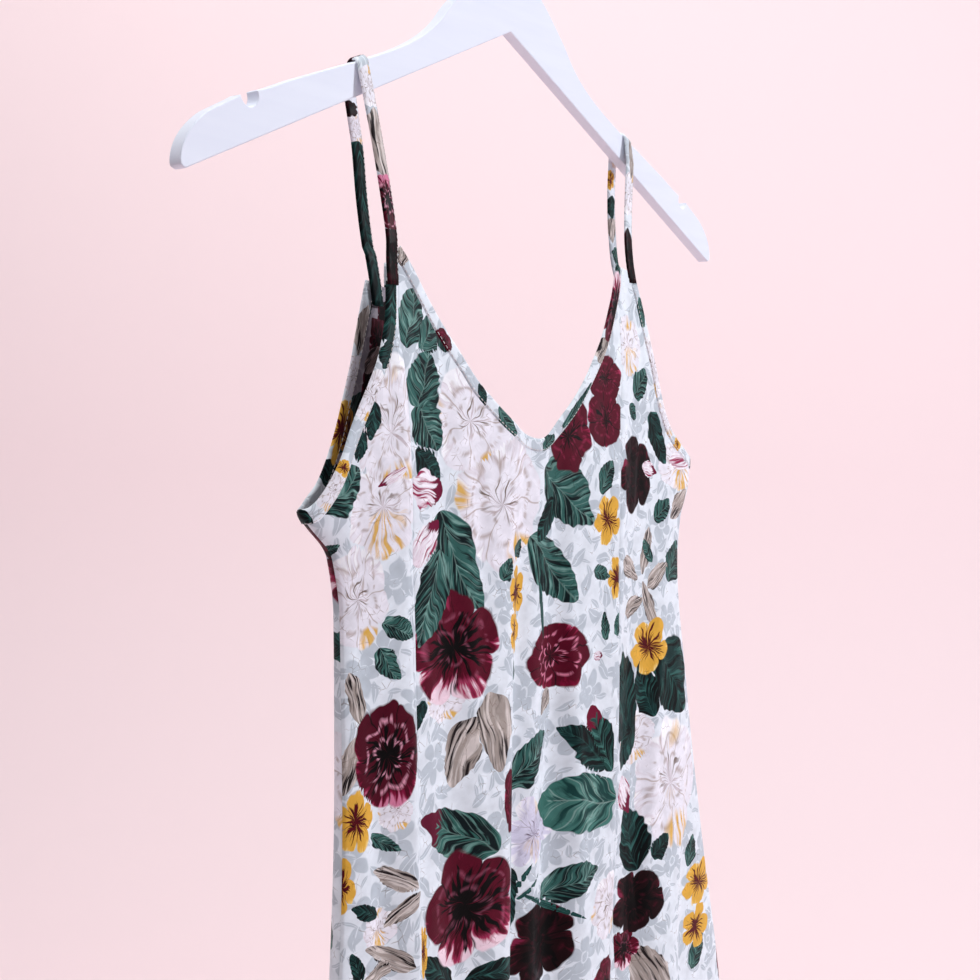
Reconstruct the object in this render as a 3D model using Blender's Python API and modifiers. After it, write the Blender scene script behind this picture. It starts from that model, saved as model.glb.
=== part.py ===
"""Slip dress hung by its straps on a flat wooden hanger.

The part's frame: +X to the viewer's right, +Y to the back, +Z up, in metres.
The origin is where the hook bears on its rail. Tables are in millimetres:
x and y as in the frame, and "drop", measured down from the corner under the
middle of the hanger. The dress hangs a little to the right and lower at its
left, as hung cloth does, so its left and right columns differ.
"""
import math
from bisect import bisect_right

import bmesh
import bpy
from mathutils import Vector

MM = 0.001

# --- hanger and hook ---------------------------------------------------------
RAIL_TO_CORNER = 118.0      # rail contact down to the corner under the hanger's middle
BOARD = 10.0                # thickness of the wooden board
BOARD_TOP = 37.0            # board's highest point above the corner
BOARD_EDGE = 1.2            # rounding of the board's edges
NOTCH_X, NOTCH_DROP, NOTCH_RADIUS = 183.0, 65.4, 4.6
WIRE = 3.6                  # hook wire
HOOK_RADIUS = 19.0          # to the middle of the wire
HOOK_SEAT = 14.0            # depth of the wire's hole in the board
HOOK_JOIN, HOOK_END = math.radians(-50), math.radians(208)

# half of the board's outline, from the middle to the tip: x, drop
BOARD_UPPER = ((0, -37), (8, -36.4), (14, -33), (19, -28.6), (27, -22.5), (35, -16), (49, -3), (58, 6.8),
               (69, 15.5), (84, 24), (104, 32.8), (130, 43), (155, 52.6), (170, 59))
BOARD_TIP = ((191, 67.4), (199, 71.6), (206, 75.6), (213, 81.8), (217.4, 88), (219.4, 94), (219.2, 98.2),
             (216.6, 99.4))

# --- cloth ---------------------------------------------------------------------
WALL = 1.2                  # cloth of the panels
BINDING_WALL = 2.2          # folded strip round an edge
STRAP_WALL = 2.0
SEAM_GAP = 0.3              # between two pieces that are sewn together
SIDE_GAP = 0.4              # from a side seam's line to the cloth on each side of it
NECK_BINDING = 7.5
NECK_END = 2.9              # how far the cut end of a neck binding runs on beside the strap
ARM_BINDING = 8.0
STRAP = 8.0
HEM_DROP, HEM_TILT = 900.0, 0.03
HANG_GAP = 0.5              # strap to board, and strap to the back peak that it is sewn to
BACK_LAP = 120              # drop below which a strap lies on its back peak

# level sections through the body: tips of the flattened ring, how far the front and the back
# bulge from the line between the tips, and where the two princess seams run
SECTION_COLUMNS = ("drop", "left", "right", "left_y", "right_y", "front", "back", "seam_left", "seam_right")
SECTIONS = (
    (100, -166, 188, -1, -4, 10, 12, -98.0, 89.0),
    (136, -163, 186, -2, -6, 11, 13, -98.3, 89.0),
    (158, -161, 184, -3, -8, 12, 15, -100.2, 87.5),
    (177, -160, 183, -4, -9, 13, 17, -97.8, 85.5),
    (200, -160, 182, -5, -10, 13, 20, -95.8, 83.0),
    (240, -155, 177, -7, -13, 12, 23, -94.0, 81.0),
    (262, -137, 166, -8, -14, 11, 25, -93.0, 80.0),
    (290, -133, 162, -9, -15, 10, 26, -91.0, 79.0),
    (370, -133, 174, -11, -17, 9, 30, -90.0, 79.5),
    (460, -136, 194, -12, -18, 9, 34, -89.0, 85.0),
    (580, -151, 222, -12, -20, 12, 38, -93.0, 92.0),
    (740, -187, 247, -12, -18, 18, 48, -103.0, 106.0),
    (910, -226, 268, -12, -14, 24, 56, -115.0, 121.0),
)
RING_FLATNESS = 8           # how square the ring's ends are
RING_CROWN = 0.4            # share of the bulge that is a plain arch

# outer edges of the openings: x, drop
NECK_FRONT = ((-95, 119), (-88, 127), (-76, 143), (-62, 161), (-47, 178), (-34, 189), (-18, 201), (-4, 208),
              (8, 210), (20, 206), (31, 197), (42, 186), (57, 169), (69, 154), (81, 133), (90, 112))
NECK_BACK = ((-81, 124), (-77, 145), (-68, 166), (-54, 189), (-36, 208), (-10, 221), (22, 227), (54, 222),
             (80, 210), (99, 191), (113, 168), (121, 146), (125, 122))
# from the front strap round under the arm to the back peak: x on the front, x on the back, drop
ARM_LEFT = (("front", -106.6, 136), ("front", -108.5, 152), ("front", -112, 165), ("front", -117, 177),
            ("front", -124.5, 191), ("front", -132, 205), ("front", -138.5, 218), ("front", -146, 230),
            ("front", -153.5, 238), ("back", -150, 239), ("back", -142, 235.5), ("back", -131, 228),
            ("back", -122, 215), ("back", -116, 202), ("back", -111, 186), ("back", -106, 168),
            ("back", -101.5, 148), ("back", -98, 134))
ARM_RIGHT = (("front", 112.4, 120), ("front", 117, 131), ("front", 121.5, 145), ("front", 127, 162),
             ("front", 132.5, 179), ("front", 139, 195), ("front", 147, 207), ("front", 160, 216),
             ("front", 178, 225), ("back", 175, 226), ("back", 168, 222), ("back", 160, 213),
             ("back", 154, 200), ("back", 149, 182), ("back", 146, 163), ("back", 144, 144),
             ("back", 142, 123))

FRONT_PEAK_LEFT = 124       # drop of the front's left peak, beside the strap
FRONT_PEAK_RIGHT = ((102.2, 114.8), (103.0, 118.8))     # top of the right peak, beside the strap
BACK_PEAK = 140             # drop at which the back's own cloth starts between its two bindings
SEAM_TOP_LEFT, SEAM_TOP_RIGHT = 158, 134                # where the princess seams leave the edges

# straps, from the front peak up to the board and from the board down to the back peak: x, y, drop
STRAP_FRONT_LEFT = ((-102.4, -12.6, 135.6), (-102.2, -12.0, 126), (-101.6, -11.2, 115), (-103.6, -9.9, 99),
                    (-107, -8.9, 81), (-110.6, -7.8, 64), (-113, -6.8, 52))
STRAP_BACK_LEFT = ((-110.4, 6.8, 52), (-107.4, 7.0, 64), (-104.8, 7.2, 75), (-101.7, 7.4, 97),
                   (-98.0, 7.4, 116), (-93.6, 7.2, 134), (-91.0, 7.2, 146))
STRAP_FRONT_RIGHT = ((108.0, -13.0, 119.6), (106.6, -12.1, 110), (106.0, -11.0, 96), (107.8, -9.6, 79),
                     (110.6, -8.2, 63), (113.4, -6.8, 51))
STRAP_BACK_RIGHT = ((115.6, 6.8, 51), (115.4, 7.0, 68), (117, 7.2, 88), (121, 7.2, 108), (127, 6.6, 122),
                    (132, 6.4, 138))
STRAP_X, STRAP_SHIFT = 114.0, 1.5       # where a strap crosses the board, and its slant over it
STRAP_UNTWIST = 26.0        # below the board a strap turns level over this length

# folds that deepen towards the hem; a positive depth stands out of the body
FOLD_COLUMNS = ("side", "x_start", "x_hem", "start", "width", "depth")
FOLDS = (
    ("front", -124, -168, 300, 15, -9),
    ("front", -62, -72, 280, 17, 7),
    ("front", -33, -34, 225, 12, 8),
    ("front", -15, -6, 235, 11, -11),
    ("front", 32, 56, 300, 24, 8),
    ("front", 66, 92, 330, 14, -8),
    ("front", 118, 152, 320, 20, 9),
    ("front", 146, 196, 360, 16, -9),
    ("back", -112, -160, 280, 20, 10),
    ("back", -70, -100, 300, 18, -11),
    ("back", -24, -38, 260, 22, 12),
    ("back", 22, 26, 290, 17, -12),
    ("back", 70, 88, 270, 22, 11),
    ("back", 114, 146, 310, 18, -12),
    ("back", 150, 206, 330, 20, 9),
)

# mesh density
EDGE_STEP = 9.0             # along the edges of the openings, and so between columns
TURN_STEPS = (3.5, 1.2)     # more columns where the cloth turns at a side seam
ROWS = 20
ROW_GROWTH = 1.4            # rows lie closer under the top edge


def lerp(a, b, t):
    return a + (b - a) * t


def section(drop):
    """The section table's values at this drop, on a monotone cubic through its rows."""
    drops = [row[0] for row in SECTIONS]
    i = min(max(bisect_right(drops, drop) - 1, 0), len(SECTIONS) - 2)
    span = drops[i + 1] - drops[i]
    t = min(max((drop - drops[i]) / span, 0.0), 1.0)
    values = {}
    for column, name in enumerate(SECTION_COLUMNS[1:], start=1):

        def slope(k):
            if k == 0 or k == len(SECTIONS) - 1:
                return 0.0
            before = (SECTIONS[k][column] - SECTIONS[k - 1][column]) / (drops[k] - drops[k - 1])
            after = (SECTIONS[k + 1][column] - SECTIONS[k][column]) / (drops[k + 1] - drops[k])
            return 0.0 if before * after <= 0 else 2 * before * after / (before + after)

        a, b = SECTIONS[i][column], SECTIONS[i + 1][column]
        values[name] = ((2 * t**3 - 3 * t**2 + 1) * a + (t**3 - 2 * t**2 + t) * span * slope(i)
                        + (3 * t**2 - 2 * t**3) * b + (t**3 - t**2) * span * slope(i + 1))
    return values


def fold_offset(side, x, drop):
    """How far the folds push the cloth out of the body here."""
    offset = 0.0
    for row in FOLDS:
        fold = dict(zip(FOLD_COLUMNS, row))
        if fold["side"] == side and drop > fold["start"]:
            grown = (drop - fold["start"]) / (HEM_DROP - fold["start"])
            middle = lerp(fold["x_start"], fold["x_hem"], grown)
            width = fold["width"] * lerp(0.8, 1.3, grown)
            offset += fold["depth"] * grown**0.8 * math.exp(-((x - middle) / width) ** 2)
    return offset


def cloth(side, x, drop):
    """A point of the body's cloth, in millimetres of x, y and drop."""
    ring = section(drop)
    half = (ring["right"] - ring["left"]) / 2
    across = min(max((x - ring["left"]) / half - 1, -1.0), 1.0)
    line = lerp(ring["left_y"], ring["right_y"], (across + 1) / 2)
    arch = 1 - across**2
    bulge = (1 - RING_CROWN) * math.sqrt(1 - abs(across) ** RING_FLATNESS) + RING_CROWN * arch
    if side == "front":
        return Vector((x, line - ring["front"] * bulge - fold_offset(side, x, drop) * arch, drop))
    return Vector((x, line + ring["back"] * bulge + fold_offset(side, x, drop) * arch, drop))


def to_frame(point):
    """Millimetres of x, y and drop to metres in the part's frame."""
    return Vector((point[0], point[1], -(RAIL_TO_CORNER + point[2]))) * MM


def smooth_line(points, step):
    """A line through the points, rounded (Catmull-Rom), with a point about every step."""
    points = [Vector(p) for p in points]
    ends = [2 * points[0] - points[1]] + points + [2 * points[-1] - points[-2]]
    line = []
    for a, b, c, d in zip(ends, ends[1:], ends[2:], ends[3:]):
        count = max(1, round((c - b).length / step))
        for k in range(count):
            t = k / count
            line.append(0.5 * (2 * b + (c - a) * t + (2 * a - 5 * b + 4 * c - d) * t * t
                               + (3 * b - a - 3 * c + d) * t**3))
    return line + [points[-1]]


def shift_line(line, distance):
    """The line moved sideways, to the side where drop grows when x grows along it."""
    moved = []
    for k, point in enumerate(line):
        along = (line[min(k + 1, len(line) - 1)] - line[max(k - 1, 0)]).normalized()
        moved.append(point + Vector((-along[1], along[0])) * distance)
    return moved


def drop_on(line, x):
    """The drop at which a line that runs from left to right passes x."""
    for a, b in zip(line, line[1:]):
        if a[0] <= x <= b[0]:
            return lerp(a[1], b[1], (x - a[0]) / max(b[0] - a[0], 1e-9))
    return line[0][1] if x < line[0][0] else line[-1][1]


# --- edges of the openings -------------------------------------------------------
def arm_line(table, end):
    """An armhole's outer edge, unrolled about the side seam: s is positive on the front."""
    line = []
    for side, x, drop in table:
        inward = abs(x - section(drop)[end])
        line.append((inward if side == "front" else -inward, drop))
    line = smooth_line(line, EDGE_STEP)
    turn = [Vector((s, drop_on(line[::-1], s))) for s in TURN_STEPS + (0,) + tuple(-s for s in TURN_STEPS[::-1])]
    clear = TURN_STEPS[0] + 2
    return [p for p in line if p[0] > clear] + turn + [p for p in line if p[0] < -clear]


def around(end, s, drop):
    """A point of the cloth at the distance s from the side seam."""
    tip = section(drop)[end]
    x = tip + abs(s) if end == "left" else tip - abs(s)
    return cloth("front" if s >= 0 else "back", x, drop)


def armhole(end):
    """Outer and inner edges of an armhole's binding, and the panels' own edge, as (s, drop)."""
    outer = arm_line(ARM_LEFT if end == "left" else ARM_RIGHT, end)
    return outer, shift_line(outer, -ARM_BINDING), shift_line(outer, -ARM_BINDING - SEAM_GAP)


def side_inset(side, drop):
    """How far in x from the side seam's line a panel ends, so that SIDE_GAP stays open."""
    ring = section(drop)
    half = (ring["right"] - ring["left"]) / 2
    return half / RING_FLATNESS * (SIDE_GAP / ((1 - RING_CROWN) * ring[side]))**2


def arm_edge(end, side):
    """The panel's own edge under the armhole's binding, from left to right, as (x, drop)."""
    line = armhole(end)[2]
    seam = drop_on(line[::-1], 0)
    sign = 1 if side == "front" else -1
    edge = [(side_inset(side, seam), seam)] + [(abs(s), drop) for s, drop in line if s * sign > 0.6]
    points = []
    for s, drop in edge:
        tip = section(drop)[end]
        points.append(Vector((tip + s if end == "left" else tip - s, drop)))
    return sorted(points, key=lambda p: p[0])


def neck_edges(table):
    """The neck binding's outer and inner edges and the panel's own edge, as (x, drop)."""
    outer = smooth_line(table, EDGE_STEP)
    return outer, shift_line(outer, NECK_BINDING), shift_line(outer, NECK_BINDING + SEAM_GAP)


# --- building ----------------------------------------------------------------------
def finish(name, rgb, roughness, metallic=0.0):
    material = bpy.data.materials.new(name)
    material.use_nodes = True
    shader = material.node_tree.nodes["Principled BSDF"]
    shader.inputs["Base Color"].default_value = (*rgb, 1)
    shader.inputs["Roughness"].default_value = roughness
    shader.inputs["Metallic"].default_value = metallic
    return material


def add_object(name, data, material, collection):
    body = bpy.data.objects.new(name, data)
    body.data.materials.append(material)
    collection.objects.link(body)
    return body


def add_wall(name, rows, thickness, material, collection):
    """A wall of cloth: rows of points in millimetres, joined into one sheet and thickened."""
    width = len(rows[0])
    points = [to_frame(p) for row in rows for p in row]
    faces = [(i * width + j, i * width + j + 1, (i + 1) * width + j + 1, (i + 1) * width + j)
             for i in range(len(rows) - 1) for j in range(width - 1)]
    mesh = bpy.data.meshes.new(name)
    mesh.from_pydata(points, [], faces)
    mesh.shade_smooth()
    body = add_object(name, mesh, material, collection)
    wall = body.modifiers.new("cloth", "SOLIDIFY")
    wall.thickness = thickness * MM
    wall.offset = 0
    wall.use_even_offset = True
    return body


def add_panel(name, side, top, sides, material, collection):
    """A panel that hangs from its top edge to the hem, between its two seams.

    top runs from seam to seam as (x, drop), and sides(drop) gives the x of both seams.
    A column hangs from each point of the top and keeps its share of the panel's width.
    """
    columns = []
    for x, drop in top:
        left, right = sides(drop)
        columns.append((min(max((x - left) / (right - left), 0.0), 1.0), drop))
    rows = []
    for i in range(ROWS + 1):
        grown = (i / ROWS) ** ROW_GROWTH
        row = []
        for share, start in columns:
            hem = HEM_DROP - HEM_TILT * lerp(*sides(HEM_DROP), share)
            drop = lerp(start, hem, grown)
            row.append(cloth(side, lerp(*sides(drop), share), drop))
        rows.append(row)
    return add_wall(name, rows, WALL, material, collection)


def front_centre(material, collection):
    edge = neck_edges(NECK_FRONT)[2]

    def sides(drop):
        ring = section(drop)
        return ring["seam_left"] + SEAM_GAP / 2, ring["seam_right"] - SEAM_GAP / 2

    left, right = sides(FRONT_PEAK_LEFT)[0], sides(SEAM_TOP_RIGHT)[1]
    top = [Vector((left, drop_on(edge, left)))] + [p for p in edge if left + 1 < p[0] < right - 1]
    top.append(Vector((right, drop_on(edge, right))))
    return add_panel("front_centre", "front", top, sides, material, collection)


def front_side(end, material, collection):
    edge = arm_edge(end, "front")

    def sides(drop):
        ring = section(drop)
        if end == "left":
            return ring["left"] + side_inset("front", drop), ring["seam_left"] - SEAM_GAP / 2
        return ring["seam_right"] + SEAM_GAP / 2, ring["right"] - side_inset("front", drop)

    if end == "left":
        corner = sides(SEAM_TOP_LEFT)[1]
        top = [p for p in edge if p[0] < corner - 1]
        top.append(Vector((corner, drop_on(edge, corner))))
    else:
        # this panel carries the right front peak, between the neck's binding and the strap
        neck = neck_edges(NECK_FRONT)[2]
        corner = sides(SEAM_TOP_RIGHT)[0]
        top = [Vector((corner, drop_on(neck, corner)))] + [p for p in neck if p[0] > corner + 1]
        top += [Vector(p) for p in FRONT_PEAK_RIGHT] + edge
    return add_panel("front_side_" + end, "front", top, sides, material, collection)


def back_panel(material, collection):
    neck = [p for p in neck_edges(NECK_BACK)[2] if p[1] > BACK_PEAK]
    left_arm = [p for p in arm_edge("left", "back") if p[1] > BACK_PEAK]
    right_arm = [p for p in arm_edge("right", "back") if p[1] > BACK_PEAK]

    def sides(drop):
        ring = section(drop)
        inset = side_inset("back", drop)
        return ring["left"] + inset, ring["right"] - inset

    return add_panel("back_panel", "back", left_arm + neck + right_arm, sides, material, collection)


def neck_binding(name, side, table, material, collection):
    outer, inner, _ = neck_edges(table)
    low, high = outer[0][0] - NECK_END, outer[-1][0] + NECK_END
    rows = []
    for a, b in zip(outer, inner):
        b = Vector((min(max(b[0], low), high), b[1]))
        rows.append([cloth(side, p[0], p[1]) for p in (a, (a + b) / 2, b)])
    return add_wall(name, rows, BINDING_WALL, material, collection)


def armhole_binding(end, material, collection):
    outer, inner, _ = armhole(end)
    rows = [[around(end, *p) for p in (a, (a + b) / 2, b)] for a, b in zip(outer, inner)]
    return add_wall("armhole_binding_" + end, rows, BINDING_WALL, material, collection)


def board_half():
    """Half of the board's outline as (x, drop): over the top, round the notch and the tip."""
    notch = []
    for k in range(9):
        angle = math.radians(lerp(200, 358, k / 8))
        notch.append((NOTCH_X + NOTCH_RADIUS * math.cos(angle), NOTCH_DROP - NOTCH_RADIUS * math.sin(angle)))
    upper = smooth_line([Vector(p) for p in BOARD_UPPER], 8)
    tip = smooth_line([Vector(p) for p in BOARD_TIP], 4)
    return upper + [Vector(p) for p in notch] + tip


def board_top(x):
    return drop_on(smooth_line([Vector(p) for p in BOARD_UPPER], 4), x)


def board_slope(x):
    """Slope of the board's top edge, as an angle below the level."""
    return math.atan2(board_top(x + 4) - board_top(x - 4), 8)


def add_board(material, collection, cutters):
    half = board_half()
    outline = half + [Vector((0, 0))] + [Vector((-p[0], p[1])) for p in reversed(half[1:])]
    curve = bpy.data.curves.new("hanger_outline", "CURVE")
    curve.dimensions = "2D"
    curve.fill_mode = "BOTH"
    curve.extrude = BOARD / 2 * MM
    spline = curve.splines.new("POLY")
    spline.points.add(len(outline) - 1)
    for point, (x, drop) in zip(spline.points, outline):
        point.co = (x * MM, -(RAIL_TO_CORNER + drop) * MM, 0, 1)
    spline.use_cyclic_u = True
    flat = bpy.data.objects.new("hanger_outline", curve)
    flat.rotation_euler = (math.pi / 2, 0, 0)
    collection.objects.link(flat)
    bpy.context.view_layer.update()

    mesh = bpy.data.meshes.new_from_object(flat.evaluated_get(bpy.context.evaluated_depsgraph_get()))
    weld_mesh(mesh)
    board = add_object("hanger", mesh, material, collection)
    board.matrix_world = flat.matrix_world.copy()
    bpy.data.objects.remove(flat)
    rounding = board.modifiers.new("rounded edges", "BEVEL")
    rounding.width = BOARD_EDGE * MM
    rounding.segments = 2
    rounding.limit_method = "ANGLE"
    rounding.angle_limit = math.radians(60)

    hole_depth = HOOK_SEAT + SEAM_GAP
    bpy.ops.mesh.primitive_cylinder_add(vertices=16, radius=(WIRE / 2 + SEAM_GAP) * MM, depth=2 * hole_depth * MM,
                                        location=(0, 0, -(RAIL_TO_CORNER - BOARD_TOP) * MM))
    drill = bpy.context.object
    drill.name = "hook_hole"
    drill.hide_render = True
    drill.display_type = "WIRE"
    for used in drill.users_collection:
        used.objects.unlink(drill)
    cutters.objects.link(drill)
    hole = board.modifiers.new("hook hole", "BOOLEAN")
    hole.operation = "DIFFERENCE"
    hole.object = drill
    return board


def weld_mesh(mesh):
    work = bmesh.new()
    work.from_mesh(mesh)
    bmesh.ops.remove_doubles(work, verts=work.verts, dist=1e-6)
    work.to_mesh(mesh)
    work.free()


def hook_path():
    """The wire's middle line as (x, z) below the rail contact: shank, sweep and round hook."""
    centre = Vector((0, -(HOOK_RADIUS - WIRE / 2)))
    seat = -(RAIL_TO_CORNER - BOARD_TOP) - HOOK_SEAT
    shank_top = Vector((0, -56))
    join = centre + HOOK_RADIUS * Vector((math.cos(HOOK_JOIN), math.sin(HOOK_JOIN)))
    lean = Vector((-math.sin(HOOK_JOIN), math.cos(HOOK_JOIN)))
    path = [Vector((0, seat)), Vector((0, -72))]
    for k in range(8):
        t = k / 8
        a, b, c, d = shank_top, shank_top + Vector((0, 11)), join - 11 * lean, join
        path.append((1 - t)**3 * a + 3 * t * (1 - t)**2 * b + 3 * t * t * (1 - t) * c + t**3 * d)
    for k in range(25):
        angle = lerp(HOOK_JOIN, HOOK_END, k / 24)
        path.append(centre + HOOK_RADIUS * Vector((math.cos(angle), math.sin(angle))))
    return path


def add_hook(material, collection):
    curve = bpy.data.curves.new("hanger_hook", "CURVE")
    curve.dimensions = "3D"
    curve.bevel_depth = WIRE / 2 * MM
    curve.bevel_resolution = 2
    curve.use_fill_caps = True
    path = hook_path()
    spline = curve.splines.new("POLY")
    spline.points.add(len(path) - 1)
    for point, (x, z) in zip(spline.points, path):
        point.co = (x * MM, 0, z * MM, 1)
    return add_object("hanger_hook", curve, material, collection)


def strap(end, material, collection):
    """A strap: up from the front peak, over the board's arm and down to the back peak."""
    left = end == "left"
    front, back = (STRAP_FRONT_LEFT, STRAP_BACK_LEFT) if left else (STRAP_FRONT_RIGHT, STRAP_BACK_RIGHT)
    direction = -1 if left else 1
    slope, top = board_slope(STRAP_X), board_top(STRAP_X)
    clear = HANG_GAP + STRAP_WALL / 2
    bend = BOARD_EDGE + clear
    over = []
    for k in range(8):
        # a quarter turn round the front edge, then one round the back edge
        angle = math.pi / 6 * (k if k < 4 else 7 - k)
        y = (BOARD / 2 - BOARD_EDGE + bend * math.cos(angle)) * (-1 if k < 4 else 1)
        x = STRAP_X - STRAP_SHIFT * (y / BOARD + 0.5)
        over.append(Vector((direction * x, y, board_top(x) + (BOARD_EDGE - bend * math.sin(angle)) / math.cos(slope))))

    path = smooth_line(front, EDGE_STEP) + over + smooth_line(back, EDGE_STEP)
    rows = []
    for point in path:
        # the strap tilts with the arm where it crosses, and hangs level below
        tilt = slope * max(0.0, 1 - max(point[2] - top - 6, 0) / STRAP_UNTWIST)
        across = Vector((math.cos(tilt), 0, direction * math.sin(tilt))) * STRAP / 2
        row = [point - across, point, point + across]
        if point[1] > 0 and point[2] > BACK_LAP:
            seat = BINDING_WALL / 2 + HANG_GAP + STRAP_WALL / 2
            y = min(cloth("back", p[0], p[2])[1] for p in row) - seat
            row = [Vector((p[0], min(p[1], y), p[2])) for p in row]
        rows.append(row)
    return add_wall("strap_" + end, rows, STRAP_WALL, material, collection)


def main():
    for old in list(bpy.data.objects):
        bpy.data.objects.remove(old)
    parts = bpy.data.collections.new("slip_dress_on_hanger")
    cutters = bpy.data.collections.new("cutters")
    for collection in (parts, cutters):
        bpy.context.scene.collection.children.link(collection)

    print_satin = (0.80, 0.79, 0.82)
    front_centre(finish("satin_front_centre", print_satin, 0.38), parts)
    for end in ("left", "right"):
        front_side(end, finish("satin_front_side_" + end, print_satin, 0.38), parts)
    back_panel(finish("satin_back", print_satin, 0.38), parts)
    neck_binding("neck_binding_front", "front", NECK_FRONT, finish("binding_neck_front", (0.78, 0.77, 0.8), 0.42), parts)
    neck_binding("neck_binding_back", "back", NECK_BACK, finish("binding_neck_back", (0.78, 0.77, 0.8), 0.42), parts)
    for end in ("left", "right"):
        armhole_binding(end, finish("binding_armhole_" + end, (0.42, 0.5, 0.47), 0.42), parts)
        strap(end, finish("strap_cloth_" + end, (0.24, 0.05, 0.09), 0.42), parts)
    add_board(finish("white_paint_on_wood", (0.83, 0.84, 0.93), 0.35), parts, cutters)
    add_hook(finish("chromed_wire", (0.75, 0.75, 0.77), 0.15, 1.0), parts)


main()
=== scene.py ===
import itertools
import json
import math

import bmesh
import bpy
import numpy as np
from mathutils import Matrix, Vector


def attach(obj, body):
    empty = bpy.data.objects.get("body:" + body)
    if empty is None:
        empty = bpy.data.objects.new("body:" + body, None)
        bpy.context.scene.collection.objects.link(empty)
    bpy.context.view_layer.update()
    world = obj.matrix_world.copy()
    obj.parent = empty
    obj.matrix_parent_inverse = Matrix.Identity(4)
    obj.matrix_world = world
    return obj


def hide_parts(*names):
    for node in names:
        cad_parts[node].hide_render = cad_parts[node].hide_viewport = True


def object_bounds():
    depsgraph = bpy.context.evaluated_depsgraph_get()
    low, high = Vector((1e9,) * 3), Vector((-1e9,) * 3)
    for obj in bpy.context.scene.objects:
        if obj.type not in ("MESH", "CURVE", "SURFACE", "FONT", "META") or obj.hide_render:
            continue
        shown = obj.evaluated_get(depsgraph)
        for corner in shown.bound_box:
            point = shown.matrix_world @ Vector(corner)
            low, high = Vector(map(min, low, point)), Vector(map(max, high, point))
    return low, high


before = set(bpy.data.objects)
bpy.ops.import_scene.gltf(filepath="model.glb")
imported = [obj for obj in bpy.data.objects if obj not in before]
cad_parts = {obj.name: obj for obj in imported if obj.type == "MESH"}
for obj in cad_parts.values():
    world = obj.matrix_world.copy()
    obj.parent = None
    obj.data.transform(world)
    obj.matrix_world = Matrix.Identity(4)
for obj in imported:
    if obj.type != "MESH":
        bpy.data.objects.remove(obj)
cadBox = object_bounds()
print("frame loaded:", len(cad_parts), "solids")


def hexColor(text):
    # sRGB hex to the linear values that the shader sockets want
    parts = [int(text[i:i + 2], 16) / 255 for i in (1, 3, 5)]
    return tuple(c / 12.92 if c <= 0.04045 else ((c + 0.055) / 1.055) ** 2.4 for c in parts) + (1.0,)


def setSteps(ramp, colors):
    # flat steps: number k is read at k / 10
    ramp.interpolation = "CONSTANT"
    for k, color in enumerate(colors):
        stop = ramp.elements[k] if k < 2 else ramp.elements.new(0.99)
        stop.position, stop.color = max(0, (k - 0.5) / 10), color


def link(tree, source, socket):
    if isinstance(source, bpy.types.NodeSocket):
        tree.links.new(source, socket)
    else:
        socket.default_value = source


def addStep(tree, known, step):
    # a kind of node or a sum (! keeps it in 0..1), then settings and inputs as name:value
    # an input without a name is the next one in order
    kind, *words = step.split()
    isSum, order = kind.isupper(), 0
    node = tree.nodes.new("ShaderNodeMath" if isSum else kind if "Node" in kind else "ShaderNode" + kind)
    if isSum:
        node.operation, node.use_clamp = kind.strip("!"), kind.endswith("!")
    for word in words:
        key, _, item = word.rpartition(":")
        if key == "steps":
            setSteps(node.color_ramp, known[item])
            continue
        if key[:1].islower():
            setattr(node, key, known.get(item, item))
            continue
        if not key:
            key, order = order, order + 1
        socket = node.inputs[int(key) if str(key).isdigit() else key.replace("_", " ")]
        link(tree, known[item] if item in known else json.loads(item), socket)
    return node.outputs


def addNodes(tree, known, recipe):
    # a line: names for a step's outputs = the step; a step in brackets stands for its first output
    for line in filter(str.strip, recipe.splitlines()):
        names, step = line.split(" = ")
        while "(" in step:
            before, _, rest = step.rpartition("(")
            inner, _, after = rest.partition(")")
            name = "part%d" % len(known)
            known[name] = addStep(tree, known, inner)[0]
            step = before + name + after
        known.update(zip(names.split(), addStep(tree, known, step)))


def makeGroup(name, inputs, outputs, known, recipe, kind="Shader"):
    # inputs and outputs: name -> what it carries
    tree = bpy.data.node_groups.new(name, kind + "NodeTree")
    for way, sockets in (("INPUT", inputs), ("OUTPUT", outputs)):
        for item, carried in sockets.items():
            tree.interface.new_socket(item, in_out=way, socket_type="NodeSocket" + carried)
    addNodes(tree, known, recipe)
    return tree


def makeMaterial(name, known, recipe=""):
    # what is known by the name of one of the shader's inputs, with _ for a space, goes into that input
    material = bpy.data.materials.new(name)
    material.use_nodes = True
    addNodes(material.node_tree, known, recipe)
    for socket in material.node_tree.nodes["Principled BSDF"].inputs:
        key = socket.name.replace(" ", "_")
        if key in known:
            link(material.node_tree, known[key], socket)
    return material


def addObject(name, data):
    item = bpy.data.objects.new(name, data)
    bpy.context.scene.collection.objects.link(item)
    return item


def addPiece(name, mesh):
    mesh.shade_smooth()
    return addObject(name, mesh)


def newMesh(name, points, faces, edges=()):
    mesh = bpy.data.meshes.new(name)
    mesh.from_pydata(points, edges, faces)
    return mesh


def turnFacesOut(mesh, merged=False):
    work = bmesh.new()
    work.from_mesh(mesh)
    if merged:
        bmesh.ops.remove_doubles(work, verts=work.verts, dist=1e-6)
        bmesh.ops.dissolve_limit(work, angle_limit=0.01, verts=work.verts, edges=work.edges)
    bmesh.ops.recalc_face_normals(work, faces=work.faces)
    work.to_mesh(mesh)
    work.free()


def meshOf(item):
    # the object's finished surface as a mesh of its own; the object itself is dropped
    bpy.context.view_layer.update()
    mesh = bpy.data.meshes.new_from_object(item.evaluated_get(bpy.context.evaluated_depsgraph_get()))
    bpy.data.objects.remove(item)
    return mesh


# camera, light and stage

view = {
    "position": (-0.58728, -0.43651, -0.30756),
    "right": (0.60332, -0.79743, 0.01076),
    "up": (0.04590, 0.04820, 0.99778),
    "lens": 50.83,
    "sensor": 36,
    "clip": (0.01, 50),
}
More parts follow.
